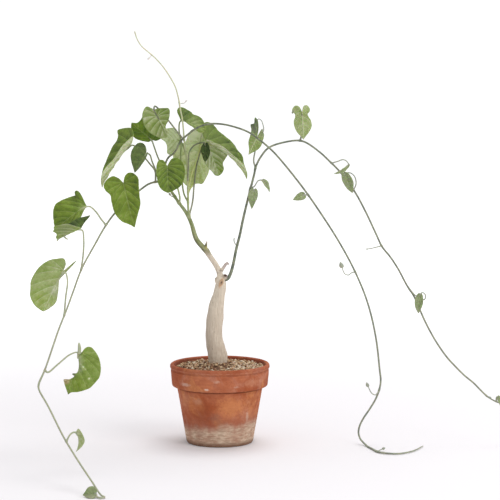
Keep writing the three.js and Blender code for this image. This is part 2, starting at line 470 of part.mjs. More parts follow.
function ball(centre, radius, detail = 6) {
  const geometry = new THREE.SphereGeometry(radius, detail + 2, detail);
  geometry.translate(...centre);
  return toSolid(geometry);
}

// The points of a blade's edge, from the tip down the right half to the stalk and up the left half again.
function bladeEdge({ right, left }, perHalf) {
  const half = (points, side) => {
    const route = points.map(([along, out]) => new THREE.Vector2(along, out * side));
    return new THREE.SplineCurve(route).getSpacedPoints(perHalf - 1);
  };
  const sinus = new THREE.Vector2(0, 0);
  const tip = new THREE.Vector2(1, 0);
  return [tip, ...half(right, 1).reverse(), sinus, ...half(left, -1)];
}

// How far the midrib arches above the straight line from the stalk to the tip.
function archOf(leaf, along) {
  const length = vector(leaf.base).distanceTo(vector(leaf.tip));
  return (leaf.arch ?? USUAL_ARCH) * length * (1 - (2 * along - 1) ** 2);
}

// The leaf's own directions: along the midrib, the way the upper side faces, and across to the right half.
function directions(leaf) {
  const along = vector(leaf.tip).sub(vector(leaf.base)).normalize();
  const face = vector(leaf.face);
  face.addScaledVector(along, -face.dot(along)).normalize();
  const across = new THREE.Vector3().crossVectors(along, face);
  return { along, face, across };
}

// A blade: rings of points between its heart and its edge, folded along the midrib and waved at the edge,
// then given its thickness along the surface's own direction.
function blade(leaf, perHalf, rings) {
  const base = vector(leaf.base);
  const length = base.distanceTo(vector(leaf.tip));
  const { along, face, across } = directions(leaf);
  const edge = bladeEdge(leaf, perHalf);
  const heart = new THREE.Vector2(BLADE_HEART, 0);
  const place = (spot, ring, index) => {
    const [rightFold, leftFold] = leaf.fold;
    const fold = THREE.MathUtils.degToRad(spot.y > 0 ? rightFold : leftFold);
    const out = Math.abs(spot.y) * length;
    const wave = leaf.wave * ring * ring * Math.sin((index / edge.length) * 2 * Math.PI * EDGE_WAVES + length);
    return base.clone()
      .addScaledVector(along, spot.x * length)
      .addScaledVector(across, spot.y * length * Math.cos(fold))
      .addScaledVector(face, out * Math.sin(fold) + wave + archOf(leaf, spot.x));
  };
  const middle = [place(heart, 0, 0)];
  for (let ring = 1; ring <= rings; ring += 1) {
    edge.forEach((spot, index) => {
      middle.push(place(heart.clone().lerp(spot, ring / rings), ring / rings, index));
    });
  }
  const count = edge.length;
  const top = [];
  for (let index = 0; index < count; index += 1) {
    const next = (index + 1) % count;
    top.push([0, 1 + next, 1 + index]);
    for (let ring = 1; ring < rings; ring += 1) {
      const inner = 1 + (ring - 1) * count;
      const outer = inner + count;
      top.push([inner + index, inner + next, outer + next]);
      top.push([inner + index, outer + next, outer + index]);
    }
  }
  const facing = middle.map(() => new THREE.Vector3());
  for (const [first, second, third] of top) {
    const one = middle[second].clone().sub(middle[first]);
    const two = middle[third].clone().sub(middle[first]);
    const normal = one.cross(two);
    for (const corner of [first, second, third]) {
      facing[corner].add(normal);
    }
  }
  const positions = [];
  for (const side of [0.5, -0.5]) {
    middle.forEach((point, index) => {
      const shift = facing[index].clone().normalize().multiplyScalar(side * BLADE_THICKNESS);
      positions.push(point.x + shift.x, point.y + shift.y, point.z + shift.z);
    });
  }
  const under = middle.length;
  const triangles = [];
  for (const [first, second, third] of top) {
    triangles.push(first, second, third);
    triangles.push(under + first, under + third, under + second);
  }
  const rim = 1 + (rings - 1) * count;
  for (let index = 0; index < count; index += 1) {
    const here = rim + index;
    const next = rim + ((index + 1) % count);
    triangles.push(here, under + next, under + here);
    triangles.push(here, next, under + next);
  }
  return closedMesh(positions, triangles);
}

// A stalk reaches a little way under the midrib, so that it holds the blade.
function stalkOf(leaf, [thickEnd, thinEnd]) {
  const { face } = directions(leaf);
  const last = vector(leaf.base).lerp(vector(leaf.tip), STALK_REACH);
  last.addScaledVector(face, archOf(leaf, STALK_REACH));
  const points = [...leaf.stalk, last.toArray()];
  const radii = points.map((_, index) => THREE.MathUtils.lerp(thickEnd, thinEnd, index / (points.length - 1)));
  return stem({ points, radii }, STALK_SIDES, 7);
}

function largestPiece(solid) {
  const pieces = solid.decompose();
  return pieces.reduce((best, piece) => (piece.volume() > best.volume() ? piece : best));
}

function joined(solids) {
  return solids.reduce((sum, solid) => sum.add(solid));
}

function makePot() {
  const profile = [
    [0, 0], [FOOT_RADIUS - 1.4, 0], [FOOT_RADIUS, 1.4],
    [BODY_TOP_RADIUS, BAND_BOTTOM - 1.2], [BODY_TOP_RADIUS + 2, BAND_BOTTOM - 0.2],
    [BAND_RADIUS - 0.8, BAND_BOTTOM], [BAND_RADIUS, BAND_BOTTOM + 1.2],
    [RIM_RADIUS - 0.9, POT_HEIGHT - 8], [RIM_RADIUS - 1.2, POT_HEIGHT - 6.6], [RIM_RADIUS, POT_HEIGHT - 5],
    [RIM_RADIUS, POT_HEIGHT - 2], [RIM_RADIUS - 1.1, POT_HEIGHT - 0.5], [RIM_RADIUS - 2.6, POT_HEIGHT],
    [INNER_RIM.radius + 1.3, POT_HEIGHT - 0.8], [INNER_RIM.radius, INNER_RIM.height],
    [INNER_SHOULDER.radius, INNER_SHOULDER.height], [INNER_FLOOR_RADIUS, FLOOR_THICKNESS],
    [0, FLOOR_THICKNESS],
  ];
  let pot = turned(profile, POT_SIDES);
  for (let index = 0; index < DRAIN.count; index += 1) {
    const angle = (2 * Math.PI * index) / DRAIN.count + Math.PI / 6;
    const drill = new THREE.CylinderGeometry(DRAIN.radius, DRAIN.radius, 4 * FLOOR_THICKNESS, DRAIN.sides);
    drill.rotateX(Math.PI / 2);
    drill.translate(DRAIN.circle * Math.cos(angle), DRAIN.circle * Math.sin(angle), 0);
    pot = pot.subtract(toSolid(drill));
  }
  return pot;
}

function makeTrunk(extra = 0) {
  const scar = ball(SCAR.centre, SCAR.radius + extra);
  const knob = ball(KNOB.centre, KNOB.radius + extra);
  return joined([
    stem(TRUNK, TRUNK_SIDES, 9, extra),
    stem(BRANCH, BRANCH_SIDES, 6, extra),
    stem(SPROUT, STEM_SIDES, 4, extra),
    stem(TWIG, STEM_SIDES, 4, extra),
    scar,
    knob,
  ]);
}

// Grit chips stand half out of the soil, spread by the golden angle with a seeded jitter.
function makeSoil(trunkClear) {
  const profile = [
    [0, FLOOR_THICKNESS + GAP], [INNER_FLOOR_RADIUS - 0.1, FLOOR_THICKNESS + GAP],
    [INNER_SHOULDER.radius - 0.4, INNER_SHOULDER.height], [SOIL_EDGE.radius, SOIL_EDGE.height],
    [SOIL_EDGE.radius - 8, SOIL_EDGE.height + 0.8], [20, SOIL_MIDDLE_HEIGHT], [0, SOIL_MIDDLE_HEIGHT],
  ];
  const next = numberStream(CHIP.seed);
  const outermost = SOIL_EDGE.radius - CHIP.largest - 0.6;
  const innermost = 12;
  const goldenAngle = Math.PI * (3 - Math.sqrt(5));
  const chips = [];
  for (let index = 0; index < CHIP.count; index += 1) {
    const share = (index + 0.5) / CHIP.count;
    const radius = Math.sqrt(THREE.MathUtils.lerp(innermost ** 2, outermost ** 2, share));
    const angle = index * goldenAngle + 0.3 * next();
    const size = THREE.MathUtils.lerp(CHIP.smallest, CHIP.largest, next());
    const chip = new THREE.OctahedronGeometry(size);
    chip.scale(1, 0.6 + 0.4 * next(), 0.45 + 0.25 * next());
    chip.rotateX(next() - 0.5);
    chip.rotateZ(2 * Math.PI * next());
    chip.translate(radius * Math.cos(angle), radius * Math.sin(angle), SOIL_MIDDLE_HEIGHT - CHIP.sunk);
    chips.push(toSolid(chip));
  }
  const soil = joined([turned(profile, POT_SIDES), ...chips]);
  return largestPiece(soil.subtract(trunkClear));
}

function smallLeaf(leaf) {
  const scaled = leaf.half.map(([along, out]) => [along, out * leaf.width]);
  const shape = { ...leaf, right: scaled, left: scaled, wave: SMALL_BLADE.wave };
  return blade(shape, SMALL_BLADE.perHalf, SMALL_BLADE.rings).add(stalkOf(leaf, STALK_RADII.smallLeaf));
}

function bud({ stalk, radius }) {
  const radii = stalk.map(() => STALK_RADII.bud);
  return stem({ points: stalk, radii }, STALK_SIDES, 4).add(ball(stalk.at(-1), radius, 4));
}

function makeStem(name, route, stepLength) {
  const body = stem(route, STEM_SIDES, stepLength);
  const leaves = (SMALL_LEAVES[name] ?? []).map(smallLeaf);
  const buds = (BUDS[name] ?? []).map(bud);
  return joined([body, ...leaves, ...buds]);
}

function makeLeaf(leaf) {
  const perHalf = Math.max(leaf.right.length, leaf.left.length) + 1;
  return blade(leaf, perHalf, BLADE_RINGS).add(stalkOf(leaf, STALK_RADII.leaf));
}

const trunkClear = makeTrunk(GAP);
addNode('pot', makePot(), CLAY);
addNode('soil', makeSoil(trunkClear), GRIT);
addNode('trunk', makeTrunk(), BARK);

const ROUTES = {
  leader_stem: LEADER,
  top_shoot: FORK_STEM,
  left_vine: LEFT_VINE,
  middle_vine: MIDDLE_VINE,
  right_vine: RIGHT_VINE,
};
const STEP_LENGTH = { leader_stem: 8, top_shoot: 11, left_vine: 10, middle_vine: 11, right_vine: 11 };
// What each stem grows from: its own end is cut clear of it.
const GROWS_FROM = {
  leader_stem: [],
  top_shoot: ['leader_stem'],
  left_vine: ['leader_stem'],
  middle_vine: ['leader_stem', 'left_vine'],
  right_vine: [],
};
const clearOf = {};
for (const [name, route] of Object.entries(ROUTES)) {
  clearOf[name] = stem(route, STEM_SIDES, STEP_LENGTH[name], GAP);
}
for (const [name, route] of Object.entries(ROUTES)) {
  let solid = makeStem(name, route, STEP_LENGTH[name]).subtract(trunkClear);
  for (const parent of GROWS_FROM[name]) {
    solid = solid.subtract(clearOf[parent]);
  }
  addNode(name, largestPiece(solid), name === 'top_shoot' ? YOUNG_STEM : GREEN_STEM);
}

for (const [name, leaf] of Object.entries(LEAVES)) {
  addNode(name, largestPiece(makeLeaf(leaf).subtract(clearOf[leaf.stem])), LEAF_GREEN);
}

export default part;
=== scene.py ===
"""The looks of a young caudex vine in a small clay pot.

Lengths are written in millimetres and turned into metres where a piece is made. Z is up, the origin is the
centre of the pot's underside, and the viewer stands on the -Y side.
"""
import math
import random

import bpy
import numpy as np
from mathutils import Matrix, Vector, noise


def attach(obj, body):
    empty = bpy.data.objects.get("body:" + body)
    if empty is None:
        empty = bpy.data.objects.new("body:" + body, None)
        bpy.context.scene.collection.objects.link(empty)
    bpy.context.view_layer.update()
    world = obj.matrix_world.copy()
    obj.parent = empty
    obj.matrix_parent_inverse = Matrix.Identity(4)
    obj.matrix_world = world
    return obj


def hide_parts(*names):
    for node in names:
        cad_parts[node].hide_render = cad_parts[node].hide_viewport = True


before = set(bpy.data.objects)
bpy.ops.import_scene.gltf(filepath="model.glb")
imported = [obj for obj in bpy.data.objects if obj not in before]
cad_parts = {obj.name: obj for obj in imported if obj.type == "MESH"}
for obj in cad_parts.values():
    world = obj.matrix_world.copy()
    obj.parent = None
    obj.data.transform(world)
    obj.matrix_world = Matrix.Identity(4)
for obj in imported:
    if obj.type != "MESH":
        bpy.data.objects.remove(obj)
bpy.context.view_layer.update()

MM = 0.001

# The pot and the soil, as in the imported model.
POT_HEIGHT = 96
RIM_RADIUS = 60
BAND_RADIUS = 57.5
BAND_BOTTOM = 69
BODY_TOP_RADIUS = 51.4
FOOT_RADIUS = 40.2
FLOOR_THICKNESS = 9
INNER_FLOOR_RADIUS = 35.5
INNER_SHOULDER = (47, 67)
INNER_RIM = (54.5, 93)
DRAIN_COUNT = 3
DRAIN_RADIUS = 4
DRAIN_CIRCLE = 18
SOIL_EDGE = (53.4, 90.6)
SOIL_MIDDLE_HEIGHT = 92.6

# The plant's routes, with a radius at each point.
TRUNK = dict(
    points=[[2, 1, 52], [1, 0.5, 76], [-2.2, 0, 97], [-2.8, 0, 105], [-4.3, 0, 113], [-6.7, 0, 123],
            [-7, 0, 133], [-5.8, 0, 148], [-4.3, -1, 163], [-1, -2, 177.5], [1.2, -2, 190], [1.5, -2, 200.5]],
    radii=[5.5, 9, 11.2, 11.8, 11, 10.5, 10.1, 10.1, 9.4, 7.2, 6.7, 4.6])
BRANCH = dict(
    points=[[0.9, -2, 196], [-0.9, -1, 207.3], [-6.9, 0, 218.2], [-12.8, 0, 226.7], [-16.4, 0, 232.8]],
    radii=[4.2, 3.5, 3.3, 3.3, 3.7])
SPROUT = dict(points=[[-16.2, -1, 232], [-16.5, -2, 238], [-15.2, -2.5, 243.5]], radii=[2.2, 1.9, 0.9])
TWIG = dict(
    points=[[2.4, -3, 198], [1.6, -3.5, 206], [4.6, -3.5, 212], [9.2, -3, 217.4], [11.4, -3.5, 215.4]],
    radii=[2.4, 2, 2.1, 1.7, 0.8])
SCAR = dict(centre=[1.4, -7.4, 194.5], radius=3.1)
KNOB = dict(centre=[6.2, -4, 201], radius=3.5)
NODE_BULGE = dict(centre=[-1.6, -2.4, 196.6], radius=5.2)

LEADER = dict(
    points=[[-14.6, 0, 230], [-19.8, 0, 236], [-27.8, -1, 246], [-34.2, -2, 265.7], [-40.2, 0, 277.9],
            [-49.2, 3, 290.1], [-57.3, 6, 301.9], [-64.3, 8, 312.5]],
    radii=[3.4, 3.2, 2.9, 2.4, 2.1, 1.8, 1.6, 1.5])
FORK_STEM = dict(
    points=[[-34.8, -1, 266.5], [-36.4, 2, 274], [-37.5, 3, 281], [-37.9, 5, 305.6], [-39, 6, 334.3],
            [-40.6, 6, 350], [-42.2, 5, 364], [-44.1, 3, 387], [-47.3, 3, 404.1], [-48.3, 2, 411.5],
            [-52.4, 0, 427.5], [-58.6, -2, 439.4], [-66.9, -5, 452], [-75.3, -8, 461.6], [-82.4, -11, 468],
            [-91.8, -14, 476.4], [-96.8, -17, 484.8], [-99.3, -20, 493.2]],
    radii=[1.5, 1.4, 1.3, 1.2, 1.1, 1, 1, 0.9, 0.9, 0.85, 0.8, 0.8, 0.75, 0.75, 0.7, 0.7, 0.7, 0.9])
LEFT_VINE = dict(
    points=[[-62.8, 7.6, 311.5], [-69, 6, 314.2], [-75.5, 4, 314.3], [-84.3, 0, 312.2], [-94.7, -8, 305.4],
            [-108.5, -18, 294.3], [-124, -30, 279.1], [-134.7, -42, 264.5], [-146.4, -58, 243.7],
            [-159.5, -80, 219.2], [-167.4, -100, 196.5], [-174.4, -118, 176.2], [-182.2, -137, 155.2],
            [-194.6, -172, 116], [-200.6, -186, 101], [-199.6, -191, 96.4], [-188.2, -208, 81],
            [-168.6, -240, 52.7], [-154.5, -262, 35.9], [-134.5, -292, 14.6], [-122.6, -309, 2.4],
            [-118.8, -313, 1.6], [-123, -317, 1.6], [-127.2, -312, 1.7], [-128.2, -308, 3.2]],
    radii=[1.25, 1.25, 1.2, 1.15, 1.1, 1.1, 1.1, 1.05, 1, 1, 1, 1, 1, 1, 1.25, 1, 1, 1, 1, 1, 1, 1, 1,
           0.9, 0.8])
MIDDLE_VINE = dict(
    points=[[-62.9, 8, 311.2], [-64.6, 7.6, 317], [-65.9, 6, 330.7], [-61.6, 2, 342.9], [-53.7, -4, 349.9],
            [-45.8, -12, 364], [-36.6, -18, 372.7], [-25.9, -24, 380.5], [-13.6, -28, 385], [1, -30, 385.3],
            [16.3, -31, 382.3], [35.8, -32, 375], [58.4, -32, 357.7], [71.6, -32, 344], [105.9, -32, 300.3],
            [147.3, -32, 236.2], [166.4, -32, 198], [176.7, -32, 170.5], [186.1, -31, 130.8],
            [190.9, -28, 91.8], [192.4, -26, 78.9], [191.1, -24, 68.5], [186.8, -21, 55.7],
            [180.2, -18, 43.5], [172.7, -16, 31.5], [168.2, -15, 22], [166.7, -16, 14.5], [168.1, -19, 8],
            [174.4, -30, 1.9], [180.8, -52, 1.5], [190, -75, 1.5], [206.9, -82, 1.5], [216.9, -78, 1.5],
            [229, -65, 1.5], [242.5, -37, 1.5]],
    radii=[1.25, 1.25, 1.2, 1.2, 1.2, 1.15, 1.15, 1.15, 1.15] + [1.1] * 22 + [1, 0.9, 0.8, 0.6])
RIGHT_VINE = dict(
    points=[[4.5, -2, 196.5], [9.6, -3, 198.6], [12.8, -4, 204.2], [16, -4, 215.1], [19.6, -4, 233.5],
            [24.3, -4, 251.9], [27.9, -3, 269.3], [33.4, -2, 292.9], [41.1, 0, 322.7], [43.5, 1, 333.4],
            [50.6, 2, 346.5], [59, 3, 355.4], [78.1, 5, 361.8], [94.8, 6, 363.6], [103.2, 6, 361.2],
            [120, 7, 349.4], [131, 7, 339.3], [142.8, 7, 327.4], [162.3, 6, 301.3], [174.1, 5, 279.8],
            [188, 3, 250.4], [194.5, 2, 236.8], [204.6, 1, 224.1], [214.7, 0, 208.6], [223.9, -2, 191.4],
            [233.2, -4, 176.8], [239.6, -5, 162.2], [246.1, -6, 147.7], [258, -8, 125.6], [272, -10, 105.2],
            [283, -12, 93.2], [293.4, -14, 83], [304.3, -16, 74.1], [313.3, -18, 65.1], [321.2, -20, 58],
            [328.4, -21, 53.7], [337.9, -22, 49.7]],
    radii=[2.3, 2.2, 2, 1.85, 1.7, 1.6, 1.5, 1.4, 1.3, 1.25, 1.2, 1.2, 1.15, 1.15] + [1.1] * 14
          + [1.05, 1.05, 1.05, 1, 1, 1, 0.9, 0.8, 0.6])

# Outlines that several small leaves share: points from the stalk to the tip as [along, out] in leaf lengths.
NARROW_HALF = [[-0.06, 0.08], [0.04, 0.2], [0.3, 0.27], [0.6, 0.2], [0.85, 0.08]]
WIDE_HALF = [[-0.12, 0.1], [-0.08, 0.28], [0.15, 0.4], [0.5, 0.33], [0.82, 0.13]]
LONG_HALF = [[-0.03, 0.05], [0.08, 0.13], [0.35, 0.19], [0.65, 0.16], [0.88, 0.07]]

# Each leaf: where its blade starts and ends, the way its upper side faces, how far each half is folded up in
# degrees, its outline, the stem that bears it and the route of its stalk.
LEAVES = {
    "leaf_front_heart": dict(
        base=[-112.9, -34, 315.9], tip=[-99.5, -44, 264.4], face=[-0.1, -1, 0.15], fold=[10, 10], wave=1,
        stem="left_vine",
        right=[[-0.13, 0.08], [-0.21, 0.2], [-0.16, 0.34], [-0.04, 0.43], [0.08, 0.41], [0.19, 0.34],
               [0.36, 0.35], [0.61, 0.33], [0.8, 0.24], [0.91, 0.1]],
        left=[[-0.14, 0.07], [-0.19, 0.16], [-0.15, 0.27], [-0.02, 0.35], [0.16, 0.33], [0.38, 0.29],
              [0.55, 0.26], [0.74, 0.16], [0.87, 0.08]],
        stalk=[[-105.6, -15.6, 297], [-106, -22, 302], [-109, -28, 310], [-112, -32, 315.4]]),
    "leaf_front_round": dict(
        base=[-61.8, -16, 334.7], tip=[-60.6, -20, 302.9], face=[0.05, -1, 0.25], fold=[12, 12], wave=0.7,
        stem="leader_stem",
        right=[[-0.22, 0.14], [-0.22, 0.31], [-0.05, 0.4], [0.19, 0.42], [0.47, 0.4], [0.77, 0.32],
               [0.92, 0.18]],
        left=[[-0.26, 0.18], [-0.27, 0.41], [-0.14, 0.56], [0.09, 0.65], [0.34, 0.65], [0.6, 0.58],
              [0.8, 0.43], [0.91, 0.22]],
        stalk=[[-48.2, 2.6, 289], [-47.5, -2, 296], [-52, -6, 315], [-58, -11, 331],
               [-61.2, -14, 334.6]]),
    "leaf_top_veined": dict(
        base=[-73.4, -10, 393.1], tip=[-60.6, -20, 369.3], face=[0.2, 1, 0.4], fold=[8, 8], wave=0.8,
        stem="top_shoot",
        right=[[-0.27, 0.08], [-0.25, 0.22], [-0.17, 0.38], [-0.03, 0.58], [0.13, 0.57], [0.3, 0.44],
               [0.41, 0.28], [0.48, 0.15], [0.56, 0.08], [0.69, 0.06], [0.85, 0.04]],
        left=[[-0.34, -0.02], [-0.42, 0.02], [-0.56, 0.14], [-0.52, 0.39], [-0.38, 0.63], [-0.11, 0.79],
              [0.19, 0.77], [0.55, 0.59], [0.84, 0.34]],
        stalk=[[-42.2, 5, 364], [-52, 3, 376.3], [-61.4, -3, 388.9], [-71.9, -6, 401.6],
               [-76.4, -10, 405.4], [-77.2, -15, 402], [-75.4, -14.5, 396.5], [-74, -12, 394]]),
    "leaf_upper_left": dict(
        base=[-81.2, 18, 363.5], tip=[-105.5, 14, 384.7], face=[-0.2, -1, 0.1], fold=[8, 8], wave=0.6,
        stem="middle_vine",
        right=[[-0.13, 0.07], [-0.2, 0.24], [-0.14, 0.45], [0.19, 0.66], [0.64, 0.72], [0.87, 0.54],
               [0.82, 0.32], [0.84, 0.14]],
        left=[[0.04, 0.13], [0.17, 0.21], [0.36, 0.31], [0.56, 0.35], [0.76, 0.25], [0.92, 0.12]],
        stalk=[[-65.6, 6.6, 326], [-70.3, 12, 335], [-74.7, 15, 344.4], [-79.4, 17, 357.6],
               [-81, 17.6, 361.9]]),
    "leaf_left_small": dict(
        base=[-87, -14, 349.4], tip=[-100.1, -20, 326.7], face=[-0.35, -1, 0.1], fold=[5, -80], wave=0.5,
        stem="left_vine",
        right=[[-0.14, 0.07], [-0.28, 0.2], [-0.35, 0.34], [-0.33, 0.5], [-0.21, 0.61], [0.05, 0.64],
               [0.37, 0.56], [0.65, 0.37], [0.85, 0.16]],
        left=[[-0.1, 0.05], [-0.06, 0.13], [0.2, 0.2], [0.5, 0.2], [0.8, 0.1]],
        stalk=[[-73, 4.9, 314.4], [-76.4, -2, 328.9], [-80.3, -7, 340], [-82.6, -11, 347.6],
               [-86, -12.6, 349.6]]),
    "leaf_back_left": dict(
        base=[-47.6, 16, 363.7], tip=[-71.7, 20, 365.8], face=[0.1, 1, 0.35], fold=[6, 6], wave=0.6,
        stem="top_shoot",
        right=[[-0.04, 0.1], [0.05, 0.28], [0.25, 0.59], [0.46, 0.92], [0.64, 0.85], [0.66, 0.46],
               [0.75, 0.22], [0.9, 0.09]],
        left=[[0, 0.14], [0.11, 0.35], [0.32, 0.55], [0.59, 0.54], [0.79, 0.45], [0.93, 0.26]],
        stalk=[[-37.6, 4, 290], [-42.6, 8, 299], [-45.6, 11, 320], [-46.8, 14, 345], [-47, 16, 361.5]]),
    "leaf_back_centre": dict(
        base=[-23.9, 26, 359.5], tip=[-35.1, 36, 303.5], face=[0.1, 1, 0.15], fold=[6, 6], wave=1,
        stem="top_shoot",
        right=[[-0.14, 0.002], [-0.25, 0.002], [-0.26, 0.06], [-0.12, 0.2], [0.04, 0.28], [0.22, 0.3],
               [0.45, 0.29], [0.6, 0.29], [0.73, 0.26], [0.85, 0.21], [0.88, 0.08]],
        left=[[-0.14, 0.002], [-0.25, 0.002], [-0.29, 0.09], [-0.27, 0.19], [-0.2, 0.25], [-0.09, 0.28],
              [0.05, 0.31], [0.15, 0.45], [0.35, 0.52], [0.59, 0.45], [0.8, 0.3], [0.94, 0.15]],
        stalk=[[-37.8, 4.6, 301], [-33, 10, 311.4], [-28.5, 16, 332.4], [-24.4, 20, 350.2],
               [-23.6, 23.5, 358.4]]),
    "leaf_back_right": dict(
        base=[-13.4, 12, 355.5], tip=[-1.4, 4, 321.3], face=[0.35, 1, 0.1], fold=[8, 8], wave=0.8,
        stem="top_shoot",
        right=[[-0.08, 0.08], [-0.06, 0.22], [0.14, 0.36], [0.42, 0.51], [0.58, 0.36], [0.67, 0.26],
               [0.84, 0.23], [0.97, 0.11]],
        left=[[-0.06, 0.08], [0.08, 0.24], [0.32, 0.34], [0.58, 0.3], [0.8, 0.18], [0.94, 0.1]],
        stalk=[[-36.4, 2, 274], [-32.5, 7, 290], [-30.5, 10, 311.4], [-26.2, 13, 339.8], [-20.1, 15, 355],
               [-15.2, 13.4, 357.6]]),
    "leaf_shaded_small": dict(
        base=[-16.7, -3, 360.6], tip=[-16.9, -5, 338.6], face=[0.1, -1, 0.1], fold=[20, 20], wave=0.4,
        stem="top_shoot",
        right=[[-0.05, 0.08], [0.04, 0.17], [0.33, 0.28], [0.63, 0.2], [0.87, 0.11]],
        left=[[-0.06, 0.08], [0.02, 0.16], [0.3, 0.24], [0.57, 0.25], [0.81, 0.15]],
        stalk=[[-38.2, 5.4, 316], [-37.4, 1, 330], [-35.8, -1, 350.3], [-31, -2, 357.5], [-24.5, -3, 361],
               [-18.4, -3.4, 361.3]]),
    "leaf_left_folded": dict(
        base=[-105.3, -4, 360.1], tip=[-140.4, -12, 309.2], face=[-0.8, -0.27, 0.57], fold=[35, 35],
        wave=0.7, arch=0.03, stem="left_vine",
        right=[[-0.18, 0.12], [-0.26, 0.28], [-0.24, 0.36], [-0.17, 0.45], [-0.09, 0.5], [0, 0.38],
               [0.1, 0.33], [0.24, 0.33], [0.41, 0.3], [0.55, 0.25], [0.7, 0.19], [0.8, 0.14],
               [0.92, 0.08]],
        left=[[-0.06, 0.11], [-0.12, 0.26], [0.04, 0.29], [0.18, 0.29], [0.33, 0.29], [0.49, 0.31],
              [0.64, 0.34], [0.75, 0.35], [0.85, 0.29], [0.93, 0.19], [0.98, 0.08]],
        stalk=[[-76.6, 3.8, 314.2], [-77.3, 1, 328.1], [-83, -1, 336], [-89.4, 0, 343.8],
               [-97.1, -1, 352.8], [-103.4, -3, 358.6]]),
    "leaf_right_upper": dict(
        base=[-46.3, 8, 388.4], tip=[-17.9, 1, 374.7], face=[0.1, -0.6, 0.8], fold=[12, 12], wave=0.5,
        arch=0.06, stem="top_shoot",
        right=[[0.14, 0.05], [0.32, 0.1], [0.52, 0.16], [0.68, 0.22], [0.87, 0.22], [0.97, 0.14]],
        left=[[-0.15, 0.15], [-0.31, 0.32], [-0.37, 0.45], [-0.36, 0.55], [-0.3, 0.6], [-0.17, 0.6],
              [0, 0.55], [0.17, 0.49], [0.28, 0.42], [0.43, 0.44], [0.59, 0.44], [0.72, 0.39],
              [0.88, 0.27], [0.98, 0.14]],
        stalk=[[-40.6, 6, 350], [-46, 10, 363], [-48.6, 11, 377], [-46.9, 9, 386.6]]),
    "leaf_right_folded": dict(
        base=[-16.8, 6, 361.9], tip=[33.2, -9, 319.5], face=[0.62, -0.4, 0.7], fold=[45, 33], wave=0.7,
        arch=0.1, stem="top_shoot",
        right=[[0.01, 0.15], [0.1, 0.2], [0.21, 0.19], [0.31, 0.17], [0.4, 0.18], [0.5, 0.21],
               [0.6, 0.23], [0.72, 0.26], [0.82, 0.28], [0.93, 0.2]],
        left=[[-0.12, 0.12], [-0.21, 0.26], [-0.31, 0.45], [-0.29, 0.5], [-0.19, 0.48], [-0.1, 0.42],
              [-0.01, 0.36], [0.09, 0.33], [0.19, 0.31], [0.28, 0.3], [0.39, 0.27], [0.52, 0.21],
              [0.62, 0.2], [0.69, 0.17], [0.76, 0.12], [0.86, 0.09], [0.94, 0.06]],
        stalk=[[-37.9, 5, 306], [-35.6, 6, 316], [-32.7, 8, 326.8], [-28.3, 9, 338.6], [-25.1, 10, 349.2],
               [-20.6, 8.5, 359.2]]),
    "left_vine_leaf_1": dict(
        base=[-155.3, -52, 291.1], tip=[-190, -66, 264.6], face=[-0.3, -0.9, 0.3], fold=[15, 25], wave=1,
        stem="left_vine",
        right=[[-0.02, 0.09], [-0.05, 0.2], [-0.08, 0.36], [-0.07, 0.44], [-0.02, 0.475], [0.02, 0.45],
               [0.05, 0.385], [0.1, 0.41], [0.21, 0.44], [0.45, 0.48], [0.61, 0.49], [0.74, 0.42],
               [0.86, 0.29], [0.9, 0.22], [0.96, 0.13]],
        left=[[0.05, 0.05], [0.2, 0.15], [0.37, 0.26], [0.5, 0.31], [0.63, 0.3], [0.77, 0.16],
              [0.9, 0.06]],
        stalk=[[-133.4, -40.6, 266.8], [-138.9, -44, 274.3], [-144.5, -47, 282.9], [-152, -50.4, 289.6]]),
    "left_vine_leaf_2": dict(
        base=[-158.9, -84, 267.3], tip=[-184.2, -98, 257], face=[-0.35, -0.05, 0.93], fold=[50, 50],
        wave=0.9, arch=0, stem="left_vine",
        right=[[-0.14, 0.1], [-0.35, 0.26], [-0.62, 0.42], [-0.34, 0.42], [-0.05, 0.48], [0.3, 0.48],
               [0.62, 0.4], [0.88, 0.2]],
        left=[[0.05, 0.09], [0.3, 0.32], [0.53, 0.47], [0.77, 0.61], [0.99, 0.71], [1.14, 0.75],
              [1.19, 0.67], [1.17, 0.55], [1.21, 0.45], [1.12, 0.34], [1.08, 0.25], [1.13, 0.17],
              [1.07, 0.05]],
        stalk=[[-159.9, -80.6, 218.4], [-157.4, -82, 235.5], [-156.4, -84, 253], [-158, -84.4, 265]]),
    "left_vine_leaf_3": dict(
        base=[-177.9, -112, 221.2], tip=[-200, -124, 175.5], face=[-0.15, 1, 0.2], fold=[10, 20], wave=1,
        stem="left_vine",
        right=[[-0.32, 0.155], [-0.2, 0.135], [-0.1, 0.09], [-0.01, 0.05], [0.1, 0.015], [0.21, 0.012],
               [0.35, 0.07], [0.52, 0.14], [0.7, 0.17], [0.87, 0.1]],
        left=[[-0.16, 0.03], [-0.24, 0.12], [-0.17, 0.26], [-0.06, 0.4], [0.11, 0.5], [0.32, 0.54],
              [0.53, 0.53], [0.65, 0.48], [0.81, 0.42], [0.94, 0.27], [0.99, 0.12]],
        stalk=[[-176.5, -123, 170.6], [-174.8, -121.5, 190.5], [-172.9, -117.5, 210.8],
               [-176, -113.6, 219.6]]),
    "left_vine_leaf_4": dict(
        base=[-156.9, -158, 133.1], tip=[-168.6, -176, 88.6], face=[0.1, -1, 0.35], fold=[10, 10], wave=1,
        stem="left_vine",
        right=[[0.05, 0.01], [0.15, -0.02], [0.25, -0.06], [0.34, -0.08], [0.43, -0.08], [0.485, -0.065],
               [0.505, -0.02], [0.515, 0.02], [0.545, 0.02], [0.56, -0.03], [0.59, -0.02], [0.63, 0.02],
               [0.665, 0.06], [0.7, 0.175], [0.715, 0.18], [0.8, 0.14], [0.88, 0.085], [0.95, 0.03]],
        left=[[-0.02, 0.05], [-0.14, 0.1], [-0.2, 0.17], [-0.2, 0.24], [-0.13, 0.34], [-0.01, 0.45],
              [0.14, 0.54], [0.29, 0.59], [0.47, 0.6], [0.61, 0.54], [0.76, 0.45], [0.84, 0.33],
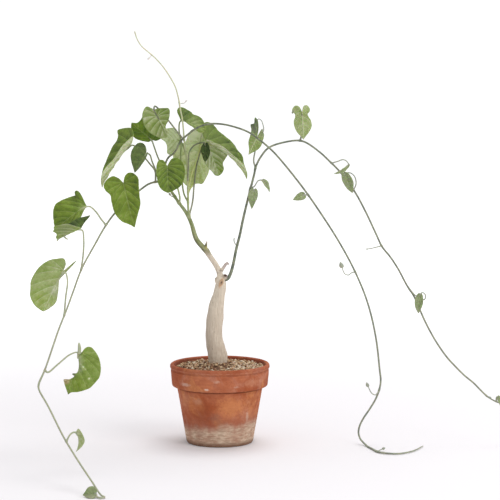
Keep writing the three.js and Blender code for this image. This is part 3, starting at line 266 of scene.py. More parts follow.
              [0.9, 0.2], [0.94, 0.06]],
        stalk=[[-194.8, -172.5, 115.4], [-191.6, -172.5, 113], [-181.5, -167, 120.3],
               [-167.1, -162, 131.5], [-159, -158.8, 133.4]]),
    "left_vine_leaf_5": dict(
        base=[-154.1, -240, 57], tip=[-154.7, -246, 37], face=[1, -0.3, 0.1], fold=[68, 72], wave=0.4,
        arch=0.14, stem="left_vine",
        right=[[-0.13, 0.14], [-0.2, 0.31], [-0.09, 0.35], [0.03, 0.4], [0.18, 0.43], [0.36, 0.44],
               [0.51, 0.41], [0.67, 0.34], [0.8, 0.28], [0.89, 0.16]],
        left=[[-0.05, 0.08], [-0.06, 0.17], [0.07, 0.21], [0.22, 0.25], [0.35, 0.26], [0.53, 0.23],
              [0.7, 0.17], [0.89, 0.08]],
        stalk=[[-165, -246, 48.3], [-163.2, -243, 52], [-160.9, -241, 55.4], [-157.9, -240, 57.4],
               [-155, -240, 57.3]]),
    "right_vine_leaf_1": dict(
        base=[45.2, 2, 369.3], tip=[34.5, -3, 346.9], face=[0.1, 1, 0.2], fold=[15, 15], wave=0.5,
        stem="right_vine",
        right=[[-0.28, 0.03], [-0.4, 0.06], [-0.3, 0.14], [-0.17, 0.28], [0.05, 0.33], [0.29, 0.37],
               [0.53, 0.32], [0.76, 0.16], [0.9, 0.06]],
        left=[[-0.35, 0.12], [-0.66, 0.32], [-0.73, 0.5], [-0.45, 0.42], [-0.36, 0.54], [-0.15, 0.4],
              [0.09, 0.33], [0.43, 0.27], [0.75, 0.09]],
        stalk=[[43, 0.8, 331], [40.7, 5, 339.2], [42, 6.5, 348.7], [44.4, 5.5, 361], [45.2, 3.4, 367.8]]),
    "right_vine_leaf_2": dict(
        base=[98.3, 4, 398.3], tip=[100, 0, 365], face=[0.1, 1, 0.1], fold=[12, 12], wave=0.6,
        stem="right_vine",
        right=[[-0.19, 0.08], [-0.21, 0.19], [-0.09, 0.28], [0.01, 0.27], [0.08, 0.2], [0.18, 0.22],
               [0.33, 0.3], [0.55, 0.31], [0.73, 0.22], [0.87, 0.1]],
        left=[[-0.19, 0.11], [-0.22, 0.23], [-0.13, 0.34], [-0.01, 0.36], [0.06, 0.28], [0.18, 0.27],
              [0.31, 0.33], [0.56, 0.3], [0.75, 0.2], [0.88, 0.09]],
        stalk=[[96, 6, 363.5], [97.6, 9, 368.9], [98.2, 9.5, 383.2], [98.3, 5.4, 396.6]]),
}

# How light each half of a leaf is painted, from 0 for the darkest to 1 for the palest: the right and left
# half of the upper side, then those of the under side. The last value is the finish of its stalk. Besides
# each leaf's own tone these hold painted light and shade: a half that faces the light or turns from it is set
# lighter or darker, leaf_shaded_small is set near black for the shade it hangs in, and leaf_back_centre is
# set pale as if lit through from behind.
LEAF_SHADES = {
    "leaf_front_heart": (0.42, 0.37, 0.66, 0.6, "olive"),
    "leaf_front_round": (0.37, 0.32, 0.66, 0.62, "green"),
    "leaf_top_veined": (0.3, 0.34, 0.55, 0.72, "dark"),
    "leaf_upper_left": (0.27, 0.27, 0.5, 0.5, "olive"),
    "leaf_left_small": (0.2, 0.2, 0.5, 0.5, "olive"),
    "leaf_back_left": (0.5, 0.5, 0.91, 0.93, "green"),
    # Painted light: set pale, as if lit through from behind.
    "leaf_back_centre": (0.5, 0.52, 0.93, 0.94, "yellow"),
    "leaf_back_right": (0.4, 0.44, 0.78, 0.85, "dark"),
    # Painted shade: set near black for the shade it hangs in.
    "leaf_shaded_small": (0.0, 0.02, 0.3, 0.3, "dark"),
    "leaf_left_folded": (0.34, 0.4, 0.7, 0.9, "olive"),
    "leaf_right_upper": (0.34, 0.31, 0.78, 0.7, "green"),
    "leaf_right_folded": (0.5, 0.33, 0.89, 0.7, "yellow"),
    "left_vine_leaf_1": (0.35, 0.32, 0.83, 0.7, "pale"),
    "left_vine_leaf_2": (0.1, 0.1, 0.5, 0.56, "pale"),
    "left_vine_leaf_3": (0.6, 0.66, 0.78, 0.72, "pale"),
    "left_vine_leaf_4": (0.46, 0.54, 0.8, 0.76, "pale"),
    "left_vine_leaf_5": (0.6, 0.6, 0.84, 0.78, "pale"),
    "right_vine_leaf_1": (0.46, 0.42, 0.58, 0.62, "dusty"),
    "right_vine_leaf_2": (0.56, 0.6, 0.72, 0.78, "dark"),
}

# What single leaves show on top of that, with places as [along, out] in leaf lengths and the right half at
# positive out, each with its reach in millimetres and its strength. tones: paler or darker spots, some the
# leaf's own and some painted highlights and painted shade, marked at their leaves. tints: yellower or greyer
# spots. dry: brown edges. curls: dry shreds, each with its thickness and its line. warmth: how yellow or grey
# the whole leaf is. ribs: how strongly the painted light and shade on the cushions between its veins show.
# heart: where the blade is filled from.
LEAF_LOOKS = {
    "leaf_front_heart": dict(
        ribs=1.6, warmth=0.3,
        tones=[([0.3, 0.2], 8, 0.07), ([0.75, 0.1], 9, 0.06), ([-0.2, -0.3], 8, -0.06),
               ([0.1, -0.35], 9, -0.06)]),
    # Painted shade: the darker spots by the midrib stand for the shadows of its ribs.
    "leaf_front_round": dict(
        ribs=2.2, warmth=0.15,
        tones=[([-0.1, 0.35], 7, 0.1), ([0.25, -0.12], 5, -0.12), ([0.35, 0.1], 4, -0.06),
               ([-0.2, -0.3], 6, 0.03)]),
    "leaf_top_veined": dict(
        ribs=2.4, warmth=-0.5,
        tones=[([-0.1, 0.4], 9, -0.06), ([0.36, -0.31], 6, -0.14)],
        tints=[([0.1, -0.5], 9, 0.5)]),
    # Painted highlights: the two paler spots.
    "leaf_upper_left": dict(
        ribs=1.4, warmth=0.35,
        tones=[([0.75, 0.1], 4, 0.14), ([0.3, -0.2], 5, 0.12), ([0.1, 0.3], 6, -0.06)]),
    "leaf_left_small": dict(ribs=0.8, warmth=-0.6),
    "leaf_back_left": dict(ribs=1.0, warmth=-0.2),
    "leaf_left_folded": dict(
        ribs=1.2, warmth=0.1,
        tones=[([0.1, -0.25], 9, 0.05), ([0.2, 0.35], 9, -0.05)],
        tints=[([0.3, -0.1], 12, -0.6)]),
    # Painted light: the yellow warmth stands for light shining through the leaf from behind.
    "leaf_back_centre": dict(
        ribs=0.8, warmth=0.7,
        tones=[([-0.15, -0.2], 8, 0.2), ([0.75, 0.14], 9, -0.06)],
        tints=[([-0.2, -0.2], 11, -1.6), ([0.03, -0.36], 8, -1.0)]),
    "leaf_back_right": dict(
        ribs=1.8, warmth=-0.5,
        tones=[([0.56, 0.1], 4, -0.24), ([0.86, 0.15], 7, -0.24)],
        tints=[([0.86, 0.15], 7, 0.5), ([0.33, 0.42], 6, -0.6)]),
    # Painted highlights: the two paler spots on its left half.
    "leaf_right_upper": dict(
        ribs=1.8, warmth=0.1,
        tones=[([0.45, -0.2], 7, 0.16), ([0.72, -0.08], 6, 0.2), ([-0.07, -0.39], 6, -0.1)],
        tints=[([0.5, -0.15], 9, -0.9)]),
    "leaf_right_folded": dict(
        ribs=1.5, warmth=-0.1,
        tones=[([0.6, -0.15], 10, -0.09)],
        tints=[([0.4, 0.15], 12, -1.2)]),
    "left_vine_leaf_1": dict(
        ribs=1.0, warmth=0.3,
        tones=[([0.1, 0.25], 5, -0.06), ([0.02, 0.42], 5, -0.16), ([0.12, -0.02], 4, 0.5),
               ([0.5, 0.3], 9, 0.06), ([0.3, -0.15], 4, 0.12), ([0.05, 0.35], 4, -0.08)],
        tints=[([0.12, -0.02], 5, -1)]),
    "left_vine_leaf_2": dict(
        ribs=1.0, warmth=0.3,
        tones=[([0.66, -0.41], 9, -0.1)],
        tints=[([0.7, -0.35], 16, -1.5)],
        dry=[([1.2, 0.45], 2.5, 1), ([1.13, 0.1], 2.5, 1)],
        curls=[(1.0, [[-183.4, -98, 257.4], [-185.8, -99, 254.8], [-185.2, -99.4, 253.8]]),
               (1.0, [[-178.4, -96, 259.4], [-176.2, -96.6, 257], [-173.8, -96.4, 255.6]])]),
    "left_vine_leaf_3": dict(
        ribs=0.9, warmth=-0.15,
        tones=[([-0.22, 0.12], 5, -0.35), ([0.5, -0.3], 9, 0.05), ([0.1, -0.45], 8, -0.1),
               ([0.85, 0.08], 6, 0.12), ([0.46, 0.04], 5, 0.1)],
        tints=[([-0.2, 0.1], 6, -0.8), ([0.8, -0.2], 12, 0.5), ([0.46, 0.04], 6, -1.2)]),
    "left_vine_leaf_4": dict(
        heart=(0.6, -0.3), ribs=0.5, warmth=0.1,
        dry=[([0.71, 0.15], 7, 1)],
        curls=[(2.1, [[-157, -159.2, 132], [-156.6, -158.6, 138.4], [-157, -158.2, 144.4]])],
        tones=[([0.31, -0.18], 1.2, 0.6), ([0.55, -0.38], 1.2, 0.6), ([0.35, -0.24], 1.2, 0.3),
               ([0.12, -0.03], 2.5, 0.16), ([0.26, -0.08], 2.5, 0.16), ([0.4, -0.1], 2.5, 0.12),
               ([0.53, 0.01], 1.8, -0.3), ([1.0, 0.0], 2.5, -0.3)],
        tints=[([0.12, -0.03], 4, -1.3), ([0.26, -0.08], 4, -1.3), ([0.4, -0.1], 4, -1.3),
               ([0.53, 0.01], 3, -2.2), ([0.74, -0.2], 9, 0.3)]),
    "left_vine_leaf_5": dict(ribs=0.5, warmth=-0.4),
    "right_vine_leaf_1": dict(
        ribs=0.2, warmth=-0.6,
        tones=[([-0.45, -0.45], 8, -0.4), ([-0.16, -0.21], 4, -0.2), ([0.0, -0.35], 4, -0.1),
               ([-0.4, 0.28], 4, -0.12)],
        tints=[([-0.45, -0.45], 9, -1.8), ([-0.16, -0.21], 4, -1.2), ([-0.3, 0.24], 5, -2)]),
    # Painted shade: the dark spots along the midrib are the fold's shadow, and those at the lobes' edges are
    # shaded edges.
    "right_vine_leaf_2": dict(
        ribs=0.0, warmth=-0.5,
        curls=[(0.9, [[88.7, 2, 399.6], [87.2, 1.6, 398.4], [86.5, 1.2, 396.9], [87, 0.8, 396]])],
        tones=[([0.0, -0.05], 1.8, -0.2), ([0.25, -0.05], 1.8, -0.14), ([0.4, 0.02], 1.6, 0.14),
               ([-0.3, -0.3], 3, -0.1), ([-0.3, 0.3], 3, -0.08), ([0.4, 0.42], 3, -0.12),
               ([0.4, -0.42], 3, -0.12)]),
}

FEW_VEINED = ("leaf_upper_left", "leaf_left_small", "leaf_shaded_small", "left_vine_leaf_5",
              "right_vine_leaf_1", "right_vine_leaf_2")
SMALL_LEAF_SHADES = (0.56, 0.6, 0.66, 0.7)

# Small leaves and buds, each part of the stem that bears it.
SMALL_LEAVES = {
    "left_vine": [
        dict(base=[-129, -308, 4], tip=[-143.1, -306, 2], face=[0, -0.6, 0.8], fold=[50, 15], half=WIDE_HALF,
             width=1.5, stalk=[[-128.2, -308, 3.2], [-129.6, -307.8, 4]]),
    ],
    "middle_vine": [
        dict(base=[100, -33, 301.6], tip=[86.4, -36, 295.8], face=[0, -1, 0.3], fold=[15, -10],
             half=WIDE_HALF, width=0.8, stalk=[[104.9, -32, 301.6], [99, -33.2, 301.6]]),
    ],
    "right_vine": [
        dict(base=[51, -6, 317.4], tip=[59.8, -8, 303.1], face=[0.6, -0.7, 0.3], fold=[30, 5],
             half=NARROW_HALF, width=1.15,
             stalk=[[37.5, -1, 307.5], [41.5, -3, 309.4], [43.7, -4, 312.9], [46.1, -5, 316.4],
                    [51.6, -6, 317]]),
        dict(base=[41.1, -5, 306.1], tip=[38.2, -10, 282.6], face=[-0.2, -1, 0.1], fold=[25, 15],
             half=NARROW_HALF, width=0.95,
             stalk=[[36.6, -1.4, 304.6], [39.4, -3.4, 306.6], [41.2, -5.2, 304.8]]),
        dict(base=[154.2, -4, 336.2], tip=[136.2, -8, 324.8], face=[0.4, -0.8, -0.6], fold=[50, 20],
             half=LONG_HALF, width=1.1,
             stalk=[[133.8, 7, 336.5], [140.3, 1, 338.8], [147.4, -2, 341.3], [151.4, -3, 339.5],
                    [153.8, -4, 335.6]]),
        dict(base=[148, -4, 325.8], tip=[158.6, -8, 301.7], face=[0.3, -0.9, 0.2], fold=[10, 50],
             half=LONG_HALF, width=1.35,
             stalk=[[160.2, 6.2, 304.2], [163, 0, 312.4], [161, -2.6, 321.4], [155.7, -3.4, 325.6],
                    [148.8, -4.6, 325]]),
        dict(base=[239.4, -14, 182], tip=[237.2, -18, 158.5], face=[-0.3, -1, 0.1], fold=[20, 20],
             half=LONG_HALF, width=1.2,
             stalk=[[227.6, -2.8, 185.8], [236.6, -8, 177], [244.6, -12, 174.4], [246, -14, 180],
                    [242, -14.4, 183.4], [239.4, -14.6, 180.6]]),
        dict(base=[333, -21.6, 58.6], tip=[339.6, -24, 41.4], face=[0.5, -0.8, 0.2], fold=[20, 15],
             half=NARROW_HALF, width=0.8, stalk=[[331, -21.3, 52.6], [331.6, -21.4, 58], [333.4, -21.8, 57]]),
    ],
}
BUDS = {
    "leader_stem": [dict(stalk=[[-53.6, 4.8, 297.4], [-57, 2.4, 296.8], [-59.4, 1, 299.6]], radius=1.5)],
    "top_shoot": [
        dict(stalk=[[-79.4, -9.6, 465.4], [-83.4, -13.4, 461.6]], radius=1.3),
        dict(stalk=[[-47.9, 2.6, 408.4], [-42.4, 3.4, 408.2], [-39.7, 3.6, 410.8]], radius=1.1),
    ],
    "middle_vine": [
        dict(stalk=[[160.8, -32, 210.2], [156.5, -32, 209], [152.8, -34, 206.6], [148.1, -36, 208.8],
                    [144.4, -38, 218.4]], radius=3),
        dict(stalk=[[190.7, -23.6, 66.6], [186, -28, 61.8], [181.7, -29, 63.9], [178, -30, 70.4],
                    [176.5, -30, 74]], radius=2.2),
        dict(stalk=[[187, -67.6, 1.5], [190.6, -63, 2.4], [194, -61, 3.4]], radius=1.7),
    ],
    "right_vine": [
        dict(stalk=[[194.2, 2, 237.6], [187, 0, 236], [181, -2, 234.8], [176.4, -3, 234.2]], radius=1),
        dict(stalk=[[319.4, -19.6, 59.4], [323.5, -22, 57.6]], radius=1.3),
    ],
}
# Dry threads and thin loops, by the stem that bears them.
THREADS = {
    "right_vine": [
        [[20.8, -4, 238], [18.6, -4.4, 240.6], [17.2, -4.6, 244.2], [17.4, -4.6, 247.3]],
        [[44.6, 4.6, 386.6], [46.3, 4, 389.4], [49.5, 4, 388], [51.8, 4, 382.5], [52.6, 4, 376.5],
         [50.6, 3, 371]],
    ],
}


# Forms

CURVE_STEPS = 24


def unit(vector):
    return vector / max(float(np.linalg.norm(vector)), 1e-12)


def fading(distance, reach):
    """1 where a distance is 0, and near 0 well past its reach."""
    return np.exp(-(distance / reach) ** 2)


def bowed(start, corner, end, shares):
    """Points of the curve from start to end that a corner pulls towards itself."""
    shares = np.asarray(shares)[:, None]
    return (1 - shares) ** 2 * start + 2 * shares * (1 - shares) * corner + shares ** 2 * end


def along_line(points):
    """How far along a line each of its points is."""
    return np.concatenate([[0], np.cumsum(np.linalg.norm(np.diff(points, axis=0), axis=1))])


def smooth_line(points, spacing=None, count=None):
    """Evenly spaced points on a smooth curve through the given ones, each one's place among them and how far
    along it is."""
    knots = np.array(points, float)
    padded = np.vstack([2 * knots[0] - knots[1], knots, 2 * knots[-1] - knots[-2]])
    steps = np.linspace(0, 1, CURVE_STEPS, endpoint=False)[:, None]
    spans = []
    for before, start, end, after in zip(padded, padded[1:], padded[2:], padded[3:]):
        near, here, far = (
            max(float(np.linalg.norm(b - a)), 1e-6) ** 0.5
            for a, b in ((before, start), (start, end), (end, after)))
        leave = ((start - before) / near - (end - before) / (near + here) + (end - start) / here) * here
        reach = ((end - start) / here - (after - start) / (here + far) + (after - end) / far) * here
        spans.append(start + leave * steps + (3 * (end - start) - 2 * leave - reach) * steps ** 2
                     + (2 * (start - end) + leave + reach) * steps ** 3)
    dense = np.vstack([*spans, knots[-1:]])
    place = np.linspace(0, len(knots) - 1, len(dense))
    run = along_line(dense)
    even = np.linspace(0, run[-1], count or max(4, round(run[-1] / spacing) + 1))
    line = np.column_stack([np.interp(even, run, dense[:, axis]) for axis in range(dense.shape[1])])
    return line, np.interp(even, run, place), even


class Form:
    """The points, faces and marks of one piece, gathered part by part in millimetres."""

    MARKS = {"vein_field": "FLOAT_VECTOR", "rim": "FLOAT", "shade": "FLOAT", "along": "FLOAT",
             "dry": "FLOAT", "warmth": "FLOAT", "ribs": "FLOAT"}

    def __init__(self):
        self.points = []
        self.faces = []
        self.looks = []
        self.marks = {name: [] for name in self.MARKS}
        self.count = 0

    def add(self, points, faces, looks=0, **marks):
        """Adds points and faces. looks is the place of their finish, one for all or one a face."""
        points = np.asarray(points, float)
        self.faces.extend(tuple(int(corner) + self.count for corner in face) for face in faces)
        self.looks.extend([looks] * len(faces) if isinstance(looks, int) else looks)
        for name, kind in self.MARKS.items():
            width = 3 if kind == "FLOAT_VECTOR" else 1
            given = np.asarray(marks.get(name, 0.0), float)
            if given.ndim == 1:
                given = given[:, None]
            self.marks[name].append(np.zeros((len(points), width)) + given)
        self.points.append(points)
        self.count += len(points)

    def piece(self, name, finishes, node):
        """Makes the piece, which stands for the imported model's node."""
        mesh = bpy.data.meshes.new(name)
        mesh.from_pydata((np.vstack(self.points) * MM).tolist(), [], self.faces)
        for finish in finishes:
            mesh.materials.append(finish)
        mesh.polygons.foreach_set("material_index", self.looks)
        mesh.polygons.foreach_set("use_smooth", [True] * len(self.faces))
        for mark, kind in self.MARKS.items():
            values = np.vstack(self.marks[mark])
            if np.any(values):
                held = mesh.attributes.new(mark, kind, "POINT")
                held.data.foreach_set("vector" if kind == "FLOAT_VECTOR" else "value", values.ravel())
        mesh.update()
        made = bpy.data.objects.new(name, mesh)
        bpy.context.scene.collection.objects.link(made)
        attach(made, "root")
        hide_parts(node)
        return made


# Stems and buds

# The rounded end of a tube reaches past it and is narrower, both in shares of its radius. A stem swells by a
# share of its radius where a stalk leaves it, and a bud's stalk is written as its first and last radius.
CAP_REACH = 0.6
CAP_WIDTH = 0.72
STEM_SPACING = 1.5
SWELLING = dict(share=0.32, reach=1.9)
BUD_STALK = (0.7, 0.55)
BUD_SPACING = 1.2
BUD_RINGS = 14


def ring_bands(sides, rings):
    """Faces between rings of points, and from each end ring to a pole that comes after them."""
    faces = []
    for low in range(0, (rings - 1) * sides, sides):
        for side in range(sides):
            after = (side + 1) % sides
            faces.append((low + side, low + after, low + sides + after, low + sides + side))
    last, pole = (rings - 1) * sides, rings * sides
    for side in range(sides):
        after = (side + 1) % sides
        faces.append((pole, after, side))
        faces.append((pole + 1, last + side, last + after))
    return faces


def add_tube(form, line, radii, sides, look=0, ribs=0.0, along=None):
    """A round stem along a line, closed with a rounded end at both sides. ribs is how uneven it is round its
    middle, and along how far along the stem each point counts as."""
    line = np.asarray(line, float)
    radii = np.broadcast_to(np.asarray(radii, float), len(line))
    along = np.linspace(0, 1, len(line)) if along is None else along
    first, last = unit(line[1] - line[0]), unit(line[-1] - line[-2])
    poles = np.array([line[0] - first * radii[0] * CAP_REACH, line[-1] + last * radii[-1] * CAP_REACH])
    line = np.vstack([(line[0] + poles[0]) / 2, line, (line[-1] + poles[1]) / 2])
    radii = np.concatenate([[radii[0] * CAP_WIDTH], radii, [radii[-1] * CAP_WIDTH]])
    along = np.concatenate([[along[0]], along, [along[-1]]])
    tangents = np.gradient(line, axis=0)
    tangents /= np.linalg.norm(tangents, axis=1)[:, None]
    out = unit(np.cross(tangents[0], np.eye(3)[int(np.argmin(np.abs(tangents[0])))]))
    outs = []
    for tangent in tangents:
        out = unit(out - tangent * float(out @ tangent))
        outs.append(out)
    outs = np.array(outs)
    overs = np.cross(tangents, outs)
    angles = np.linspace(0, 2 * math.pi, sides, endpoint=False)
    run = along_line(line)[:, None]
    uneven = 1 + ribs * (0.6 * np.sin(3 * angles + 0.11 * run) + 0.4 * np.sin(5 * angles - 0.07 * run + 1.3))
    wide = radii[:, None] * uneven
    rings = (line[:, None, :] + (wide * np.cos(angles))[:, :, None] * outs[:, None, :]
             + (wide * np.sin(angles))[:, :, None] * overs[:, None, :])
    spread = np.concatenate([np.repeat(along, sides), [along[0], along[-1]]])
    form.add(np.vstack([rings.reshape(-1, 3), poles]), ring_bands(sides, len(line)), look, along=spread)


def add_route(form, route, sides, ribs=0.0, swellings=()):
    """A stem along a smooth route, a little thicker where stalks leave it."""
    line, place, run = smooth_line(route["points"], STEM_SPACING)
    radii = np.interp(place, range(len(route["radii"])), route["radii"])
    for spot in swellings:
        nearest = int(np.argmin(np.linalg.norm(line - np.array(spot), axis=1)))
        radii = radii * (1 + SWELLING["share"] * fading(run - run[nearest], SWELLING["reach"]))
    add_tube(form, line, radii, sides, ribs=ribs, along=run / run[-1])


def add_bud(form, bud, look):
    """A thin stalk with a pointed, ribbed bud at its end."""
    line, _, _ = smooth_line(bud["stalk"], BUD_SPACING)
    add_tube(form, line, np.linspace(*BUD_STALK, len(line)), 8, look)
    radius = bud["radius"]
    shares = np.linspace(0, 1, BUD_RINGS)
    body = line[-1] + np.outer(shares * 2.7 - 1.1, unit(line[-1] - line[-2])) * radius
    swell = radius * (0.12 + 0.88 * np.sin(math.pi * shares ** 0.8) ** 0.75) * (1 - 0.25 * shares)
    add_tube(form, body, swell, 15, look, ribs=0.1)


# Leaves

# STALK_REACH, USUAL_ARCH, BLADE_HEART and CREASE are in blade lengths, and other sizes are millimetres. A
# blade as long as FULL_SIZE has the full relief, and a shorter one has less.
STALK_REACH = 0.15
STALK_DEPTH = 0.4
STALK_SPACING = 1.1
STALK_ROOT = dict(share=0.45, reach=2.2)
STALK_KNEE = dict(share=0.2, reach=2.5, before=3)
STALK_TAPER = dict(start=0.92, rate=6)
USUAL_ARCH = 0.05
BLADE_HEART = (0.25, 0.0)
EDGE_POINTS = 400
EDGE_WAVES = 5
EDGE_NIBBLE = 0.22
NIBBLE_REACH = 2.6
RING_STEP = 1.15
LAST_RING = 0.97
LAMINA = 0.42
FULL_SIZE = 45
CREASE = 0.012
QUILT = dict(height=0.6, reach=2.4)
RIPPLE = dict(height=0.5, reach=11)
GROOVES = dict(side_vein=(0.1, 0.7), midrib=(0.14, 0.8))
RIDGES = dict(side_vein=(0.16, 0.6), midrib=(0.3, 0.7))
BRIM = 0.12
MARGIN_GAP = 6.0
VEIN_BOW = 0.1
LARGE_VEINS = dict(lobes=(0.12, 0.27, 0.41, 0.54), starts=(0.17, 0.36, 0.55, 0.73),
                   ends=(0.66, 0.77, 0.86, 0.94))
SMALL_VEINS = dict(lobes=(0.2, 0.42), starts=(0.18, 0.42, 0.66), ends=(0.6, 0.76, 0.9))


def half_edge(points, length, count):
    """A half blade's edge from the stalk's notch to the tip, as [along, out] in millimetres."""
    line, _, _ = smooth_line([[0, 0], *points, [1, 0]], count=count)
    return line * length


def beside_vein(spots, start, end):
    """How far points lie from a bowed vein, and which of them lie past it."""
    start, run = np.array(start), np.array(end) - np.array(start)
    corner = start + run * 0.5 + np.array([-run[1], run[0]]) * VEIN_BOW
    line = bowed(start, corner, start + run, np.linspace(0, 1, 9))
    line = np.vstack([line, line[-1] + (line[-1] - line[-2]) * 8])
    steps = np.diff(line, axis=0)
    away = spots[:, None, :] - line[None, :-1, :]
    share = np.clip((away * steps).sum(2) / (steps ** 2).sum(1), 0, 1)
    off = np.linalg.norm(away - share[:, :, None] * steps, axis=2)
    nearest = off.argmin(axis=1)
    rows = np.arange(len(spots))
    side = steps[nearest, 0] * away[rows, nearest, 1] - steps[nearest, 1] * away[rows, nearest, 0]
    return off[rows, nearest], side < 0


def vein_field(spots, edge, plan):
    """Where points of a half blade lie among its veins: veins passed, gap width and the nearest vein."""
    length = edge[-1][0]
    reach = len(edge) - 1
    draw = random.Random(round(length * 100))
    courses = []
    for end in plan["lobes"]:
        courses.append(((0.0, 0.0), edge[round((end + draw.uniform(-0.015, 0.015)) * reach)]))
    for start, end in zip(plan["starts"], plan["ends"]):
        root = ((start + draw.uniform(-0.03, 0.03)) * length, 0.0)
        courses.append((root, edge[round((end + draw.uniform(-0.012, 0.012)) * reach)]))
    distances, passed = zip(*(beside_vein(spots, start, end) for start, end in courses))
    count = np.sum(passed, axis=0)
    margin = np.full(len(spots), MARGIN_GAP)
    table = np.vstack([margin, *distances, margin])
    rows = np.arange(len(spots))
    before, after = table[count, rows], table[count + 1, rows]
    gap = before + after
    return count + before / np.maximum(gap, 1e-6), gap, np.minimum(before, after)


def blade_veins(spots, halves, plan):
    """The vein field over the right and the left half of a blade."""
    field = np.zeros((3, len(spots)))
    for sign, half in zip((1, -1), halves):
        here = spots[:, 1] * sign >= -1e-9
        mirrored = np.column_stack([spots[here, 0], np.abs(spots[here, 1])])
        field[:, here] = vein_field(mirrored, half, plan)
    return field


def blade_axes(leaf):
    """A blade's start, its length, its way along and the way its upper side faces."""
    base, tip = np.array(leaf["base"], float), np.array(leaf["tip"], float)
    along = unit(tip - base)
    face = np.array(leaf["face"], float)
    return base, float(np.linalg.norm(tip - base)), along, unit(face - along * float(face @ along))


def arch_height(leaf, length, share):
    """How far a blade arches up at a share of its length."""
    return leaf.get("arch", USUAL_ARCH) * length * (1 - (2 * share - 1) ** 2)


def blade_rings(leaf, length, halves, spacing):
    """A flat blade's points as rings round its heart: the points, each one's share of the way to the edge
    and of the turn round it, and how many a ring has."""
    girth = max(along_line(half)[-1] for half in halves)
    half_count = max(12, round(girth / spacing))
    right, left = (half_edge(leaf[side], length, half_count) for side in ("right", "left"))
    edge = np.vstack([right[:0:-1], right[:1], left[1:-1] * [1, -1]])
    heart = np.array(leaf.get("heart", BLADE_HEART)) * length
    inward = heart - edge
    inward /= np.linalg.norm(inward, axis=1)[:, None]
    nibble = np.array([noise.noise(Vector((*(spot / NIBBLE_REACH), length))) for spot in edge])
    edge = edge + inward * (EDGE_NIBBLE * nibble)[:, None]
    widest = float(np.linalg.norm(edge - heart, axis=1).max())
    reach = np.linspace(0, LAST_RING, max(6, round(widest / (RING_STEP * spacing))))[1:]
    reach = np.append(reach, 1.0)
    spots = np.vstack([heart, *(heart + (edge - heart) * share for share in reach)])
    count = len(edge)
    ring = np.append(0, np.repeat(reach, count))
    turn = np.append(0, np.tile(np.arange(count) / count, len(reach)))
    return spots, ring, turn, count


def blade_middle(leaf, axes, grid, near, size):
    """The middle of a blade in space: folded along the midrib, arched, waved at the edge and raised between
    its veins."""
    base, length, along, face = axes
    spots, ring, turn, _ = grid
    right_fold, left_fold = np.radians(leaf["fold"])
    fold = np.where(spots[:, 1] > 0, right_fold, left_fold)
    crease = CREASE * length
    out = np.sqrt(spots[:, 1] ** 2 + crease ** 2) - crease
    wave = leaf["wave"] * ring ** 2 * np.sin(2 * math.pi * EDGE_WAVES * turn + length)
    quilt = (1 - fading(near, QUILT["reach"])) * (1 - ring ** 8) - 0.5
    lift = out * np.sin(fold) + arch_height(leaf, length, spots[:, 0] / length) + wave
    lift += QUILT["height"] * size * quilt
    across = np.outer(spots[:, 1] * np.cos(fold), np.cross(along, face))
    middle = base + np.outer(spots[:, 0], along) + across + np.outer(lift, face)
    ripple = np.array([noise.noise(Vector(point) / RIPPLE["reach"]) for point in middle])
    return middle + np.outer(RIPPLE["height"] * size * ripple * ring, face)


def sheet_faces(count, rings):
    """The fan round a blade's heart and the bands between its rings, as rows of corners."""
    index = np.arange(count)
    after = (index + 1) % count
    fan = np.column_stack([0 * index, 1 + after, 1 + index])
    bands = [start + np.column_stack([index, after, count + after, count + index])
             for start in range(1, 1 + (rings - 1) * count, count)]
    return fan, np.vstack(bands)


def facing_of(points, fan, bands):
    """The way each point of a sheet faces, from the triangles round it."""
    facing = np.zeros_like(points)
    for corners in (fan, bands[:, :3], bands[:, [0, 2, 3]]):
        first, second, third = (points[column] for column in corners.T)
        normal = np.cross(second - first, third - first)
        for column in corners.T:
            np.add.at(facing, column, normal)
    return facing / np.maximum(np.linalg.norm(facing, axis=1), 1e-12)[:, None]


def vein_relief(near, aside, ring, side_vein, midrib):
    """How high veins are at points. Each is written as its height and reach, and side veins fade outwards."""
    side = side_vein[0] * fading(near, side_vein[1]) * (1 - 0.6 * ring)
    return side + midrib[0] * fading(aside, midrib[1])


def shell_points(middle, facing, grid, near, size):
    """The upper side of a blade, grooved at its veins, the under side, where they stand out, and the brim."""
    spots, ring, _, count = grid
    groove = size * vein_relief(near, spots[:, 1], ring, **GROOVES)
    ridge = size * vein_relief(near, spots[:, 1], ring, **RIDGES)
    half_thick = LAMINA * (0.6 + 0.4 * size) / 2
    edge = middle[-count:]
    return np.vstack([middle + facing * (half_thick - groove)[:, None],
                      middle - facing * (half_thick + ridge)[:, None],
                      edge + (edge - middle[-2 * count:-count]) * BRIM])


def shell_faces(fan, bands, total, count, looks):
    """The faces of both sides of a blade and of the brim that joins them, and the finish of each."""
    upper = [tuple(row) for row in (*fan, *bands)]
    under = [tuple(total + corner for corner in (row[0], *row[:0:-1])) for row in upper]
    brim, rim = [], total - count
    for here in range(count):
        there = (here + 1) % count
        brim.append((rim + here, rim + there, 2 * total + there, 2 * total + here))
        brim.append((2 * total + here, 2 * total + there, total + rim + there, total + rim + here))
    return upper + under + brim, [looks[0]] * len(upper) + [looks[1]] * len(under) + list(looks) * count


